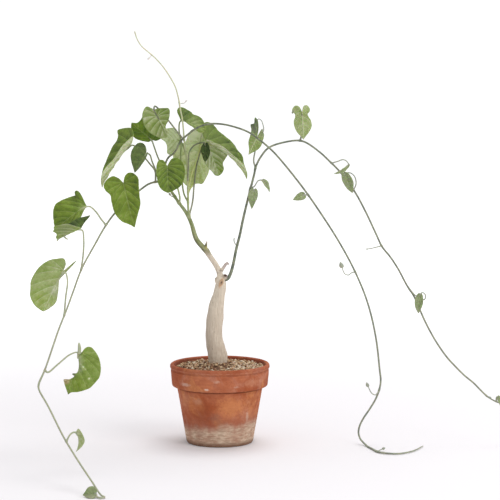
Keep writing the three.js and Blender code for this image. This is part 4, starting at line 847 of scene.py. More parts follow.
def blade_marks(leaf, length, grid, field, shades):
    """What a blade's finish reads at each of its points."""
    spots, ring, _, count = grid

    def gathered(key, start=0.0):
        values = np.full(len(spots), float(start))
        for place, reach, shift in leaf.get(key, ()):
            values += shift * fading(np.linalg.norm(spots - np.array(place) * length, axis=1), reach)
        return values

    def all_over(upper, under=None):
        under = upper if under is None else under
        return np.concatenate([upper, under, under[-count:]])

    tone = gathered("tones")
    right_share = 1 / (1 + np.exp(-spots[:, 1] / (0.06 * length)))
    upper_shade, under_shade = (left + (right - left) * right_share + tone
                                for right, left in (shades[:2], shades[2:]))
    return dict(vein_field=all_over(np.column_stack([*field[:2], spots[:, 1]])), rim=all_over(ring),
                shade=all_over(upper_shade, under_shade), dry=all_over(np.clip(gathered("dry"), 0, 1)),
                warmth=all_over(gathered("tints", leaf.get("warmth", 0.0))), ribs=leaf.get("ribs", 1.0))


def add_blade(form, leaf, spacing, shades, plan, looks=(0, 1)):
    """A leaf blade, closed with an upper side, an under side and a brim."""
    axes = blade_axes(leaf)
    length = axes[1]
    size = min(1.0, length / FULL_SIZE)
    halves = [half_edge(leaf[side], length, EDGE_POINTS) for side in ("right", "left")]
    grid = blade_rings(leaf, length, halves, spacing)
    spots, _, _, count = grid
    field = blade_veins(spots, halves, plan)
    middle = blade_middle(leaf, axes, grid, field[2], size)
    fan, bands = sheet_faces(count, (len(spots) - 1) // count)
    points = shell_points(middle, facing_of(middle, fan, bands), grid, field[2], size)
    faces, picked = shell_faces(fan, bands, len(spots), count, looks)
    form.add(points, faces, picked, **blade_marks(leaf, length, grid, field, shades))


def add_stalk(form, leaf, thick, thin, look):
    """A stalk that swells where it leaves the stem and runs on under the blade's midrib."""
    base, length, along, face = blade_axes(leaf)
    rise = arch_height(leaf, length, STALK_REACH) - STALK_DEPTH
    last = base + along * length * STALK_REACH + face * rise
    line, _, run = smooth_line([*leaf["stalk"], last.tolist()], STALK_SPACING)
    share = run / run[-1]
    root = STALK_ROOT["share"] * fading(run, STALK_ROOT["reach"])
    knee = STALK_KNEE["share"] * fading(run - run[-1] + STALK_KNEE["before"], STALK_KNEE["reach"])
    radii = (thick + (thin - thick) * share) * (1 + root + knee)
    radii *= 1 - STALK_TAPER["rate"] * np.maximum(0, share - STALK_TAPER["start"])
    add_tube(form, line, radii, 10, look, ribs=0.05, along=share)


# Finishes

def tint(shade):
    """A colour written as it looks on paper, as the linear light that Blender works in."""
    parts = [((shade >> shift) & 255) / 255 for shift in (16, 8, 0)]
    return (*[part / 12.92 if part <= 0.04045 else ((part + 0.055) / 1.055) ** 2.4 for part in parts], 1)


class Graph:
    """Places nodes in a material or in a shared effect."""

    def __init__(self, tree):
        self.tree = tree

    def feed(self, socket, value):
        if isinstance(value, bpy.types.NodeSocket):
            self.tree.links.new(value, socket)
        else:
            socket.default_value = value

    def node(self, kind, inputs=None, **settings):
        made = self.tree.nodes.new("ShaderNode" + kind)
        for name, value in settings.items():
            setattr(made, name, value)
        for key, value in (inputs or {}).items():
            self.feed(made.inputs[key], value)
        return made

    def math(self, operation, *values):
        return self.node("Math", dict(enumerate(values)), operation=operation).outputs[0]

    def times(self, value, factor, plus=None):
        """A product, with something added where it is given."""
        if plus is None:
            return self.math("MULTIPLY", value, factor)
        return self.math("MULTIPLY_ADD", value, factor, plus)

    def mix(self, share, first, second):
        return self.node("Mix", {0: share, 6: first, 7: second}, data_type="RGBA").outputs[2]

    def coats(self, colour, *layers):
        """A colour with tints laid over it, each with its mask, its strength and its shade."""
        for mask, strength, shade in layers:
            colour = self.mix(self.times(mask, strength), colour, tint(shade))
        return colour

    def between(self, value, low, high, to_low=0.0, to_high=1.0):
        """A smooth step of a value from low to high."""
        return self.node("MapRange", {0: value, 1: low, 2: high, 3: to_low, 4: to_high},
                         interpolation_type="SMOOTHSTEP").outputs[0]

    def line_at(self, height, middle, reach, core):
        """A soft level line: whole up to core from its middle, and gone at reach."""
        away = self.math("ABSOLUTE", self.math("SUBTRACT", height, middle))
        return self.between(away, reach, core)

    def ramp(self, value, *stops):
        made = self.node("ValToRGB", {0: value})
        elements = made.color_ramp.elements
        while len(elements) < len(stops):
            elements.new(0.5)
        for element, (place, colour) in zip(elements, stops):
            element.position = place
            element.color = tint(colour)
        return made.outputs[0]

    def noise(self, place, scale, detail, roughness=0.5, distortion=0.0):
        return self.node("TexNoise", {"Vector": place, "Scale": scale, "Detail": detail,
                                      "Roughness": roughness, "Distortion": distortion}).outputs[0]

    def place(self):
        return self.node("TexCoord").outputs["Object"]

    def stretch(self, place, across, up):
        """A place scaled along X and Y, and along Z."""
        return self.node("VectorMath", {0: place, 1: (across, across, up)}, operation="MULTIPLY").outputs[0]

    def mark(self, name, output="Fac"):
        return self.node("Attribute", attribute_name=name).outputs[output]

    def effect(self, tree, **inputs):
        made = self.node("Group", node_tree=tree)
        for name, value in inputs.items():
            self.feed(made.inputs[name], value)
        return made.outputs

    def relief(self, height, distance):
        return self.node("Bump", {"Height": height, "Distance": distance, "Strength": 1.0}).outputs[0]


def effect_group(name, inputs, outputs):
    """A shared effect that is still empty. An input without a value is a vector."""
    tree = bpy.data.node_groups.new(name, "ShaderNodeTree")
    for label, value in inputs.items():
        kind = "NodeSocketVector" if value is None else "NodeSocketFloat"
        socket = tree.interface.new_socket(name=label, in_out="INPUT", socket_type=kind)
        if value is not None:
            socket.default_value = value
    for label in outputs:
        tree.interface.new_socket(name=label, in_out="OUTPUT", socket_type="NodeSocketFloat")
    given = tree.nodes.new("NodeGroupInput").outputs
    result = tree.nodes.new("NodeGroupOutput").inputs
    return tree, Graph(tree), given, result


def make_patches():
    """Soft uneven patches, as stains and growth leave them."""
    tree, graph, given, result = effect_group(
        "patches", {"Place": None, "Scale": 50.0, "Low": 0.4, "High": 0.6}, ["Mask"])
    coarse = graph.noise(given["Place"], given["Scale"], 4.0, 0.6, 0.4)
    graph.feed(result["Mask"], graph.between(coarse, given["Low"], given["High"]))
    return tree


def make_grain():
    """Fine and finer unevenness of a surface."""
    tree, graph, given, result = effect_group(
        "grain", {"Place": None, "Scale": 800.0, "Fine Share": 0.35}, ["Height"])
    coarse = graph.noise(given["Place"], given["Scale"], 2.0)
    finer = graph.noise(given["Place"], graph.times(given["Scale"], 3.7), 2.0)
    graph.feed(result["Height"], graph.times(finer, given["Fine Share"], coarse))
    return tree


def make_specks():
    """Scattered small spots. Each cell holds one spot, and Share says how many cells show theirs."""
    tree, graph, given, result = effect_group(
        "specks", {"Place": None, "Scale": 400.0, "Size": 0.3, "Share": 0.4}, ["Mask"])
    cells = graph.node("TexVoronoi", {"Vector": given["Place"], "Scale": given["Scale"]})
    spot = graph.between(cells.outputs["Distance"], given["Size"], graph.times(given["Size"], 0.5))
    lot = graph.node("SeparateColor", {0: cells.outputs["Color"]}).outputs[0]
    shown = graph.math("LESS_THAN", lot, given["Share"])
    graph.feed(result["Mask"], graph.times(spot, shown))
    return tree


def make_leaf_veins():
    """The midrib and side veins of a blade from its vein field in millimetres, painted light and painted
    shade on the flanks of the cushions between them, and the fine net that fills these."""
    tree, graph, given, result = effect_group(
        "leaf_veins", {"Field": None, "Rim": 0.0, "Place": None, "Width": 0.6}, ["Veins", "Painted_Flank", "Net"])
    parts = graph.node("SeparateXYZ", {0: given["Field"]}).outputs
    share = graph.math("FRACT", parts[0])
    nearer = graph.math("MINIMUM", share, graph.math("SUBTRACT", 1.0, share))
    wide = graph.times(given["Width"], graph.times(given["Rim"], -0.55, 1.0))
    side = graph.between(graph.times(nearer, parts[1]), wide, 0.0)
    middle = graph.between(graph.math("ABSOLUTE", parts[2]), graph.times(wide, 1.6), 0.0)
    graph.feed(result["Veins"], graph.math("MAXIMUM", graph.times(side, 0.8), middle))
    # Painted light beside the vein nearer the stalk and painted shade at the far side of each cushion.
    painted_flank = graph.math("SUBTRACT", graph.between(share, 0.15, 0.85), 0.5)
    inside = graph.between(given["Rim"], 1.0, 0.85)
    graph.feed(result["Painted_Flank"], graph.times(painted_flank, inside))
    net = graph.node("TexVoronoi", {"Vector": given["Place"], "Scale": 560.0}, feature="DISTANCE_TO_EDGE")
    graph.feed(result["Net"], graph.between(net.outputs["Distance"], 0.16, 0.0))
    return tree


def make_smudge():
    """One worn or stained spot at a given centre, with a ragged edge."""
    tree, graph, given, result = effect_group(
        "smudge", {"Place": None, "Centre": None, "Shape": None, "Raggedness": 0.8}, ["Mask"])
    off = graph.node("VectorMath", {0: given["Place"], 1: given["Centre"]}, operation="SUBTRACT").outputs[0]
    shaped = graph.node("VectorMath", {0: off, 1: given["Shape"]}, operation="MULTIPLY").outputs[0]
    far = graph.node("VectorMath", {0: shaped}, operation="LENGTH").outputs["Value"]
    wander = graph.math("SUBTRACT", graph.noise(given["Place"], 380.0, 5.0, 0.7), 0.5)
    far = graph.math("ADD", far, graph.times(wander, given["Raggedness"]))
    graph.feed(result["Mask"], graph.between(far, 1.15, 0.2))
    return tree


def make_streaks():
    """Fibres and cracks. The place is squeezed along Z before it comes here, which makes them lengthwise."""
    tree, graph, given, result = effect_group("streaks", {"Place": None, "Scale": 600.0}, ["Mask"])
    broad = graph.noise(given["Place"], given["Scale"], 5.0, 0.65)
    graph.feed(result["Mask"], graph.between(broad, 0.36, 0.64))
    return tree


PATCHES = make_patches()
GRAIN = make_grain()
SPECKS = make_specks()
LEAF_VEINS = make_leaf_veins()
SMUDGE = make_smudge()
STREAKS = make_streaks()


def patches(graph, place, scale, low, high):
    """A mask of patches at a noise scale, with soft edges between low and high."""
    return graph.effect(PATCHES, Place=place, Scale=scale, Low=low, High=high)["Mask"]


def grain(graph, place, scale):
    return graph.effect(GRAIN, Place=place, Scale=scale)["Height"]


def specks(graph, place, scale, share, size=0.3):
    return graph.effect(SPECKS, Place=place, Scale=scale, Size=size, Share=share)["Mask"]


def streaks(graph, place, scale):
    return graph.effect(STREAKS, Place=place, Scale=scale)["Mask"]


def smudges(graph, colour, place, spots, raggedness):
    """A colour with a table of spots on it."""
    for centre, shape, strength, shade in spots:
        mask = graph.effect(SMUDGE, Place=place, Centre=centre, Shape=shape, Raggedness=raggedness)["Mask"]
        colour = graph.coats(colour, (mask, strength, shade))
    return colour


def new_finish(name, **constants):
    """A material with one Principled shader, whose even values are set on its own sockets."""
    finish = bpy.data.materials.new(name)
    finish.use_nodes = True
    graph = Graph(finish.node_tree)
    shader = finish.node_tree.nodes["Principled BSDF"]
    for label, value in constants.items():
        shader.inputs[label.replace("_", " ")].default_value = value
    return finish, graph, shader.inputs


# Marks on the clay: centre in metres, one over the reach along X, Y and Z, strength and colour.
STAINS = (
    ((0.0140, -0.0460, 0.0500), (46.0, 20.0, 62.0), 0.62, 0xCC8453),
    ((0.0330, -0.0350, 0.0380), (90.0, 20.0, 70.0), 0.3, 0xC48A6C),
    ((-0.0200, -0.0440, 0.0420), (80.0, 20.0, 52.0), 0.6, 0x934A2C),
    ((-0.0400, -0.0320, 0.0560), (150.0, 20.0, 60.0), 0.35, 0xBE8468),
    ((-0.0240, -0.0380, 0.0160), (110.0, 50.0, 210.0), 0.75, 0x7E5040),
    ((-0.0050, -0.0460, 0.0370), (110.0, 50.0, 140.0), 0.5, 0x8C5E50),
    ((-0.0026, -0.0585, 0.0823), (260.0, 60.0, 460.0), 0.4, 0xD6B9A6),
    ((-0.0150, -0.0565, 0.0726), (330.0, 60.0, 620.0), 0.75, 0xE0CCC0),
    ((-0.0400, -0.0425, 0.0765), (140.0, 60.0, 420.0), 0.5, 0xD0B4A6),
    ((0.0205, -0.0545, 0.0755), (240.0, 60.0, 760.0), 0.3, 0xD6B9A6),
    ((0.0330, -0.0350, 0.0360), (520.0, 60.0, 130.0), 0.5, 0xDCC2AE),
    ((-0.0260, -0.0440, 0.0560), (160.0, 40.0, 200.0), 0.3, 0xD0A890),
    ((0.0400, -0.0430, 0.0790), (60.0, 30.0, 150.0), 0.36, 0xD69C7C),
    ((0.0030, -0.0440, 0.0290), (110.0, 50.0, 190.0), 0.35, 0x8A5844),
    ((-0.0300, -0.0360, 0.0500), (90.0, 40.0, 90.0), 0.3, 0xB25F34),
)
STAIN_RAGGEDNESS = 1.9
# Heights on the pot in metres: dirt at the foot, painted shade under the band and in the groove under the
# lip, the lip's darker brow, and a painted highlight along the lip's edge.
FOOT_DIRT = (0.0075, 0.0022)
BAND_SHADE_LINE = 0.0678
LIP_GROOVE_SHADE = 0.0893
LIP_BROW = (0.0900, 0.0915)
LIP_EDGE = 0.0916


def weathered(graph, colour, place, fine):
    """Clay with its stains, the salts that damp leaves above its foot, dirt at the foot, a darker brow on the
    lip, lines of painted shade under the band and the lip, and a painted highlight along the lip's edge.
    """
    height = graph.node("SeparateXYZ", {0: place}).outputs[2]
    colour = smudges(graph, colour, place, STAINS, STAIN_RAGGEDNESS)
    # The salts end at an uneven upper edge, and level lines run through them.
    wander = graph.noise(graph.stretch(place, 1.0, 0.4), 34.0, 5.0, 0.6)
    below = graph.math("SUBTRACT", graph.times(wander, 0.030, 0.0085), height)
    lines = graph.noise(graph.stretch(place, 0.25, 1.0), 520.0, 4.0, 0.6)
    worn = patches(graph, graph.stretch(place, 1.0, 1.4), 75.0, 0.36, 0.6)
    flaked = patches(graph, graph.stretch(place, 0.5, 1.0), 300.0, 0.3, 0.6)
    kept = graph.times(flaked, 0.2, graph.times(worn, 0.38, 0.42))
    salt = graph.times(graph.between(below, -0.0065, 0.0055), kept)
    crust = graph.mix(graph.between(lines, 0.32, 0.68), tint(0xAE937D), tint(0xD8C1A8))
    colour = graph.coats(colour, (graph.between(below, -0.02, 0.002), 0.52, 0x8F5848))
    colour = graph.mix(salt, colour, crust)
    # Painted highlight: a pale line along the lip's edge, broken by patches.
    lip_highlight = graph.times(graph.line_at(height, LIP_EDGE, 0.0007, 0.0002), fine)
    return graph.coats(
        colour,
        (graph.between(height, *FOOT_DIRT), 0.85, 0x7A5A46),
        # Painted shade: a dark line under the band's overhang and one in the groove under the lip.
        (graph.line_at(height, BAND_SHADE_LINE, 0.0016, 0.0004), 0.55, 0x5E3224),
        (graph.line_at(height, LIP_GROOVE_SHADE, 0.0014, 0.0003), 0.3, 0x6B3A2A),
        (graph.between(height, *LIP_BROW), 0.35, 0x8A4834),
        (lip_highlight, 0.35, 0xCF9A7C))


def clay_finish(name, damp):
    """Old fired clay. The damp one is the inner wall over the soil."""
    finish, graph, surface = new_finish(name, Specular_IOR_Level=0.2)
    place = graph.place()
    slant = graph.node("VectorRotate", {"Vector": place, "Axis": (0.0, 1.0, 0.0), "Angle": 0.6}).outputs[0]
    broad = patches(graph, place, 24.0, 0.38, 0.62)
    small = patches(graph, place, 95.0, 0.4, 0.66)
    ochre = patches(graph, graph.stretch(slant, 1.0, 0.55), 46.0, 0.5, 0.64)
    bloom = patches(graph, graph.stretch(slant, 1.0, 0.4), 74.0, 0.5, 0.7)
    fine = patches(graph, place, 330.0, 0.36, 0.66)
    turned = graph.noise(graph.stretch(place, 0.1, 1.0), 420.0, 3.0, 0.6)
    pores = specks(graph, place, 700.0, 0.2)
    colour = graph.coats(
        graph.mix(broad, tint(0xA3532F), tint(0xBE7350)),
        (ochre, 0.7, 0xCC8553), (bloom, 0.4, 0xC4907C), (small, 0.32, 0x96503A), (fine, 0.2, 0x8A4530),
        (graph.between(turned, 0.42, 0.62), 0.16, 0x8E4A34))
    if damp:
        colour = graph.mix(0.6, colour, tint(0x5E2A1E))
    else:
        colour = weathered(graph, colour, place, fine)
    graph.feed(surface["Base Color"], graph.coats(colour, (pores, 0.35, 0x6E3524)))
    graph.feed(surface["Roughness"], graph.times(small, 0.12, 0.78))
    pitted = graph.math("SUBTRACT", grain(graph, place, 900.0), graph.times(pores, 0.6))
    graph.feed(surface["Normal"], graph.relief(graph.times(turned, 1.4, pitted), 0.00022))
    return finish


def grit_finish():
    """Grit, bark crumbs and baked clay bits, each with its own tone."""
    finish, graph, surface = new_finish("grit", Specular_IOR_Level=0.25, Roughness=0.92)
    place = graph.place()
    colour = graph.ramp(
        graph.mark("shade"), (0.0, 0x5C4334), (0.16, 0x7C5B47), (0.32, 0x9C7558), (0.46, 0xB08D6A),
        (0.6, 0xC2A480), (0.74, 0xD6BE9E), (0.86, 0xE9DCC6), (1.0, 0xAE6B4C))
    mottle = patches(graph, place, 900.0, 0.35, 0.7)
    graph.feed(surface["Base Color"], graph.coats(colour, (mottle, 0.3, 0x59472F)))
    graph.feed(surface["Normal"], graph.relief(grain(graph, place, 1500.0), 0.00025))
    return finish


# Where the branch turns into the leader: a yellow collar, a brown scar and a mauve shoot tip, written as the
# clay's marks are.
COLLAR_SPOTS = (
    ((-0.0166, -0.0040, 0.2357), (380.0, 120.0, 420.0), 0.7, 0xB4AE62),
    ((-0.0172, -0.0045, 0.2392), (420.0, 120.0, 420.0), 0.75, 0x5C5436),
    ((-0.0156, -0.0030, 0.2435), (420.0, 120.0, 330.0), 0.6, 0xC2A6A2),
)
COLLAR_RAGGEDNESS = 0.5


def bark_finish():
    """Pale smooth bark with fine lengthwise fibres, a left flank greyed with painted shade, and the marks of
    healed cuts.
    """
    finish, graph, surface = new_finish("bark", Specular_IOR_Level=0.2)
    place = graph.place()
    across, _, height = graph.node("SeparateXYZ", {0: place}).outputs
    fibres = streaks(graph, graph.stretch(place, 1.0, 0.05), 700.0)
    threads = streaks(graph, graph.stretch(place, 1.0, 0.035), 1700.0)
    broad = patches(graph, graph.stretch(place, 1.0, 0.45), 80.0, 0.34, 0.68)
    dust = patches(graph, place, 210.0, 0.54, 0.72)
    dashes = specks(graph, graph.stretch(place, 1.0, 0.3), 460.0, 0.1, 0.26)
    # Painted shade: the left flank, turned from the key light, is laid over with grey.
    left = graph.between(across, -0.004, -0.017)
    # The branch greens towards its collar, and the twig is a dry mauve-grey.
    twig = graph.between(graph.times(across, 3.0, height), 0.2205, 0.2265)
    green = graph.between(height, 0.224, 0.233)
    colour = graph.coats(
        graph.ramp(graph.between(height, 0.1, 0.2), (0.0, 0xC2B19D), (0.5, 0xCFBFAA), (1.0, 0xDDCFBB)),
        (broad, 0.4, 0xDACCB9), (fibres, 0.4, 0x9C8B77), (threads, 0.32, 0xECE3D3), (left, 0.3, 0xA3988D),
        (dust, 0.3, 0xE7DDCD), (dashes, 0.5, 0x7D6B59), (twig, 0.6, 0xA9999A),
        (graph.mark("rim"), 0.7, 0xC69768), (green, 0.75, 0x84835A))
    colour = smudges(graph, colour, place, COLLAR_SPOTS, COLLAR_RAGGEDNESS)
    graph.feed(surface["Base Color"], graph.mix(graph.mark("along"), colour, tint(0x4E3428)))
    graph.feed(surface["Roughness"], graph.times(fibres, 0.1, 0.78))
    uneven = graph.times(grain(graph, place, 1300.0), 0.25, graph.times(fibres, -0.8))
    graph.feed(surface["Normal"], graph.relief(graph.times(threads, -0.35, uneven), 0.00022))
    return finish


def stem_finish(name, *stops, dotted=0.15, painted_flank=0.0):
    """A green stem whose colour changes along its length, with paler fibres and small dark dots. The flank
    argument sets how strongly its left side, turned from the key light, is darkened to brown near its foot
    with painted shade."""
    finish, graph, surface = new_finish(
        name, Specular_IOR_Level=0.25, Subsurface_Weight=0.1, Subsurface_Scale=0.001)
    place = graph.place()
    patch = patches(graph, place, 190.0, 0.35, 0.65)
    dots = specks(graph, place, 900.0, 0.2)
    colour = graph.ramp(graph.mark("along"), *stops)
    colour = graph.coats(colour, (patch, 0.3, 0xC9CBA6), (dots, dotted, 0x4E4C38))
    if painted_flank:
        # Painted shade: the side whose normal leans to -X, away from the key light, is darkened.
        facing = graph.node("NewGeometry").outputs["Normal"]
        leaning = graph.node("SeparateXYZ", {0: facing}).outputs[0]
        near_foot = graph.between(graph.mark("along"), 0.4, 0.15)
        side = graph.times(graph.between(leaning, 0.0, -0.6), near_foot)
        colour = graph.coats(colour, (side, painted_flank, 0x45432C))
    graph.feed(surface["Base Color"], colour)
    graph.feed(surface["Roughness"], graph.times(patch, 0.15, 0.52))
    height = grain(graph, graph.stretch(place, 1.0, 0.4), 1600.0)
    graph.feed(surface["Normal"], graph.relief(height, 0.00012))
    return finish


# How the two sides of a leaf differ. Veins lie in grooves above and stand out below, and the flank strength
# is how strongly the painted light and shade on the cushions show.
UPPER_SIDE = dict(gloss=0.24, rough=0.56, vein_width=0.75, vein_strength=0.34, vein_shade=0xB2BC86,
                  vein_rise=-0.8, net_rise=-0.35, uneven=1.0, painted_flank=-0.07, rim=0.09)
UNDER_SIDE = dict(gloss=0.14, rough=0.7, vein_width=0.9, vein_strength=0.6, vein_shade=0xCDD1AE,
                  vein_rise=1.0, net_rise=0.35, uneven=0.7, painted_flank=-0.1, rim=-0.06)


def leaf_finish(name, side):
    """One side of a leaf: its veins, painted light and shade on the cushions between them, and its shade of
    green, which holds painted light and shade as well as its own tone.
    """
    finish, graph, surface = new_finish(
        name, Specular_IOR_Level=side["gloss"], Subsurface_Weight=0.3, Subsurface_Scale=0.0016,
        Subsurface_Radius=(0.6, 1.0, 0.3))
    place = graph.place()
    veins = graph.effect(LEAF_VEINS, Field=graph.mark("vein_field", "Vector"), Rim=graph.mark("rim"),
                         Place=place, Width=side["vein_width"])
    broad = patches(graph, place, 70.0, 0.3, 0.7)
    blotch = patches(graph, place, 165.0, 0.3, 0.7)
    small = patches(graph, place, 420.0, 0.34, 0.68)
    own = graph.mark("shade")
    shade = own
    for patch, strength in ((broad, 0.12), (blotch, 0.13), (small, 0.09)):
        shade = graph.times(graph.math("SUBTRACT", patch, 0.5), strength * side["uneven"], shade)
    # Painted light and painted shade on the cushions between the veins, as strong as the leaf's ribs mark.
    shade = graph.times(graph.times(veins["Painted_Flank"], graph.mark("ribs")), side["painted_flank"], shade)
    shade = graph.times(veins["Net"], 0.05, shade)
    shade = graph.times(graph.between(graph.mark("rim"), 0.955, 0.99), side["rim"], shade)
    colour = graph.ramp(
        shade, (0.0, 0x26330F), (0.2, 0x50602B), (0.4, 0x6A7B32), (0.55, 0x7B8C42), (0.7, 0x8F9B5C),
        (0.82, 0xA1A974), (0.92, 0xBBC09C), (1.0, 0xCDD1B2))
    warmth = graph.mark("warmth")
    hue = graph.times(graph.math("ABSOLUTE", warmth), -0.011, 0.5)
    saturation = graph.times(warmth, 0.26, 1.0)
    colour = graph.node("HueSaturation", {0: hue, 1: saturation, 4: colour}).outputs[0]
    shown = graph.times(veins["Veins"], graph.between(own, 0.1, 0.42, 0.25, 1.0))
    broken = graph.times(shown, graph.times(small, 0.3, 0.75))
    flecks = specks(graph, place, 420.0, 0.06)
    colour = graph.coats(colour, (broken, side["vein_strength"], side["vein_shade"]),
                         (flecks, 0.22, 0xC9C592))
    dry = graph.times(graph.between(graph.mark("dry"), 0.3, 0.8), 0.85)
    colour = graph.mix(dry, colour, graph.mix(small, tint(0x8A6E4A), tint(0xBFAE8C)))
    graph.feed(surface["Base Color"], colour)
    graph.feed(surface["Roughness"], graph.times(small, 0.12, side["rough"]))
    rise = graph.times(veins["Net"], side["net_rise"], graph.times(veins["Veins"], side["vein_rise"]))
    uneven = graph.times(small, 0.5, grain(graph, place, 1500.0))
    graph.feed(surface["Normal"], graph.relief(graph.times(uneven, 0.3, rise), 0.00028))
    return finish


CLAY = clay_finish("fired_clay", damp=False)
DAMP_CLAY = clay_finish("damp_clay", damp=True)
GRIT = grit_finish()
BARK = bark_finish()
LEAF_TOP = leaf_finish("leaf_upper_side", UPPER_SIDE)
LEAF_UNDER = leaf_finish("leaf_under_side", UNDER_SIDE)
STALKS = {
    "green": stem_finish("stalk_green", (0.0, 0x8F9C66), (1.0, 0x80905A)),
    "yellow": stem_finish("stalk_yellow_green", (0.0, 0xA3B064), (1.0, 0xB6C072)),
    "olive": stem_finish("stalk_olive", (0.0, 0x7F8568), (1.0, 0x76805A)),
    "dark": stem_finish("stalk_dark", (0.0, 0x7A7B6A), (0.6, 0x5E6650), (1.0, 0x484E3A)),
    "pale": stem_finish("stalk_pale", (0.0, 0x9EA388), (1.0, 0xA6AC8C)),
    "dusty": stem_finish("stalk_dusty", (0.0, 0x92968A), (1.0, 0x9A9E90)),
    "faint": stem_finish("bud_faint_mauve", (0.0, 0xD9D6D2), (1.0, 0xCBC3C8), dotted=0.0),
}
STEMS = {
    "leader_stem": stem_finish(
        "leader_green", (0.0, 0x76774C), (0.1, 0x868A5E), (0.28, 0x78804F), (0.6, 0x7A8556),
        (1.0, 0x7F8A58), dotted=0.4, painted_flank=0.7),
    "top_shoot": stem_finish(
        "young_green", (0.0, 0x97A268), (0.4, 0xAFB588), (0.6, 0xC4C6A4), (1.0, 0xC6C5AC), dotted=0.22),
    "left_vine": stem_finish(
        "left_vine_green", (0.0, 0x666C58), (0.18, 0x797D64), (0.35, 0x8E9178), (0.7, 0x979A82),
        (1.0, 0xA0A28A), dotted=0.4),
    "middle_vine": stem_finish(
        "middle_vine_green", (0.0, 0x535A48), (0.2, 0x5B6252), (0.45, 0x6C7264), (0.8, 0x7D8275),
        (1.0, 0x878B7B), dotted=0.4),
    "right_vine": stem_finish(
        "right_vine_green", (0.0, 0x5E665A), (0.12, 0x5B6355), (0.4, 0x656B5E), (0.7, 0x75796B),
        (1.0, 0x7E826E), dotted=0.4),
}


# The pot

POT_SIDES = 200


def rounded_profile(corners, reach, spacing):
    """A profile whose corners are eased over a short reach, with points close enough for relief."""
    corners = np.array(corners, float)
    eased = [corners[0]]
    for before, corner, after in zip(corners, corners[1:], corners[2:]):
        start_reach = min(reach, 0.45 * float(np.linalg.norm(before - corner)))
        end_reach = min(reach, 0.45 * float(np.linalg.norm(after - corner)))
        start = corner + unit(before - corner) * start_reach
        end = corner + unit(after - corner) * end_reach
        eased.extend(bowed(start, corner, end, np.linspace(0, 1, 5)))
    eased.append(corners[-1])
    full = [eased[0]]
    for start, end in zip(eased, eased[1:]):
        steps = max(1, math.ceil(float(np.linalg.norm(end - start)) / spacing))
        full.extend(start + (end - start) * (step + 1) / steps for step in range(steps))
    return np.array(full)


def turned_points(profile, sides, relief):
    """A turned form's points and faces. The profile starts and ends on the axis."""
    points = []
    for radius, height in profile[1:-1]:
        for angle in np.linspace(0, 2 * math.pi, sides, endpoint=False):
            out = radius + relief(radius, height, angle)
            points.append((out * math.cos(angle), out * math.sin(angle), height))
    points += [(0, 0, profile[0][1]), (0, 0, profile[-1][1])]
    return np.array(points), ring_bands(sides, len(profile) - 2)


def clay_relief(radius, height, angle):
    """What the potter's hand leaves: level rings, a slight waver, and small dents."""
    if radius < 4:
        return 0.0
    spot = Vector((math.cos(angle) * radius, math.sin(angle) * radius, height))
    rings = noise.noise(Vector((0.3 * math.cos(angle), 0.3 * math.sin(angle), height * 0.55))) * 0.16
    waver = noise.noise(spot / 30) * 0.3
    dents = noise.noise(spot / 4) * 0.1
    return (rings + waver + dents) * min(1.0, radius / 20)


def settle(made):
    """Applies a piece's modifiers to its mesh."""
    finished = bpy.data.meshes.new_from_object(made.evaluated_get(bpy.context.evaluated_depsgraph_get()))
    old = made.data
    made.modifiers.clear()
    made.data = finished
    bpy.data.meshes.remove(old)


def drill_drain(made, angle):
    """Cuts one drain hole through the pot's floor."""
    bpy.ops.mesh.primitive_cylinder_add(
        vertices=32, radius=DRAIN_RADIUS * MM, depth=4 * FLOOR_THICKNESS * MM,
        location=(DRAIN_CIRCLE * math.cos(angle) * MM, DRAIN_CIRCLE * math.sin(angle) * MM, 0))
    drill = bpy.context.object
    cut = made.modifiers.new("drain", "BOOLEAN")
    cut.operation, cut.solver, cut.object = "DIFFERENCE", "EXACT", drill
    settle(made)
    bpy.data.objects.remove(drill)


def damp_inside(mesh):
    """Gives the pot's inner wall and floor their own finish."""
    for face in mesh.polygons:
        middle = face.center / MM
        over_floor = middle.z > FLOOR_THICKNESS - 0.5
        facing_in = face.normal.x * middle.x + face.normal.y * middle.y < 0
        inner_wall = facing_in and over_floor and middle.z < INNER_RIM[1] + 1.5
        near_axis = math.hypot(middle.x, middle.y) < INNER_FLOOR_RADIUS + 1
        inner_floor = near_axis and over_floor and middle.z < FLOOR_THICKNESS + 1
        face.material_index = 1 if inner_floor or inner_wall else 0
        face.use_smooth = True


def make_pot():
    """The turned pot, with relief, drain holes and a damp inside."""
    rim, band = RIM_RADIUS, BAND_RADIUS
    profile = rounded_profile([
        (0, 0), (FOOT_RADIUS - 1.4, 0), (FOOT_RADIUS, 1.4), (BODY_TOP_RADIUS, BAND_BOTTOM - 2.2),
        (BODY_TOP_RADIUS - 0.6, BAND_BOTTOM - 1), (BODY_TOP_RADIUS + 1.6, BAND_BOTTOM - 0.3),
        (band - 0.8, BAND_BOTTOM), (band, BAND_BOTTOM + 1.2),
        (rim - 0.9, POT_HEIGHT - 8.2), (rim - 1.9, POT_HEIGHT - 6.7), (rim - 0.1, POT_HEIGHT - 5.2),
        (rim, POT_HEIGHT - 2), (rim - 1.1, POT_HEIGHT - 0.5), (rim - 2.6, POT_HEIGHT),
        (INNER_RIM[0] + 1.3, POT_HEIGHT - 0.8), INNER_RIM, INNER_SHOULDER,
        (INNER_FLOOR_RADIUS, FLOOR_THICKNESS), (0, FLOOR_THICKNESS)], reach=1.2, spacing=1.6)
    form = Form()
    form.add(*turned_points(profile, POT_SIDES, clay_relief))
    made = form.piece("clay_pot", [CLAY, DAMP_CLAY], "pot")
    for index in range(DRAIN_COUNT):
        drill_drain(made, 2 * math.pi * index / DRAIN_COUNT + math.pi / 6)
    damp_inside(made.data)


# The soil

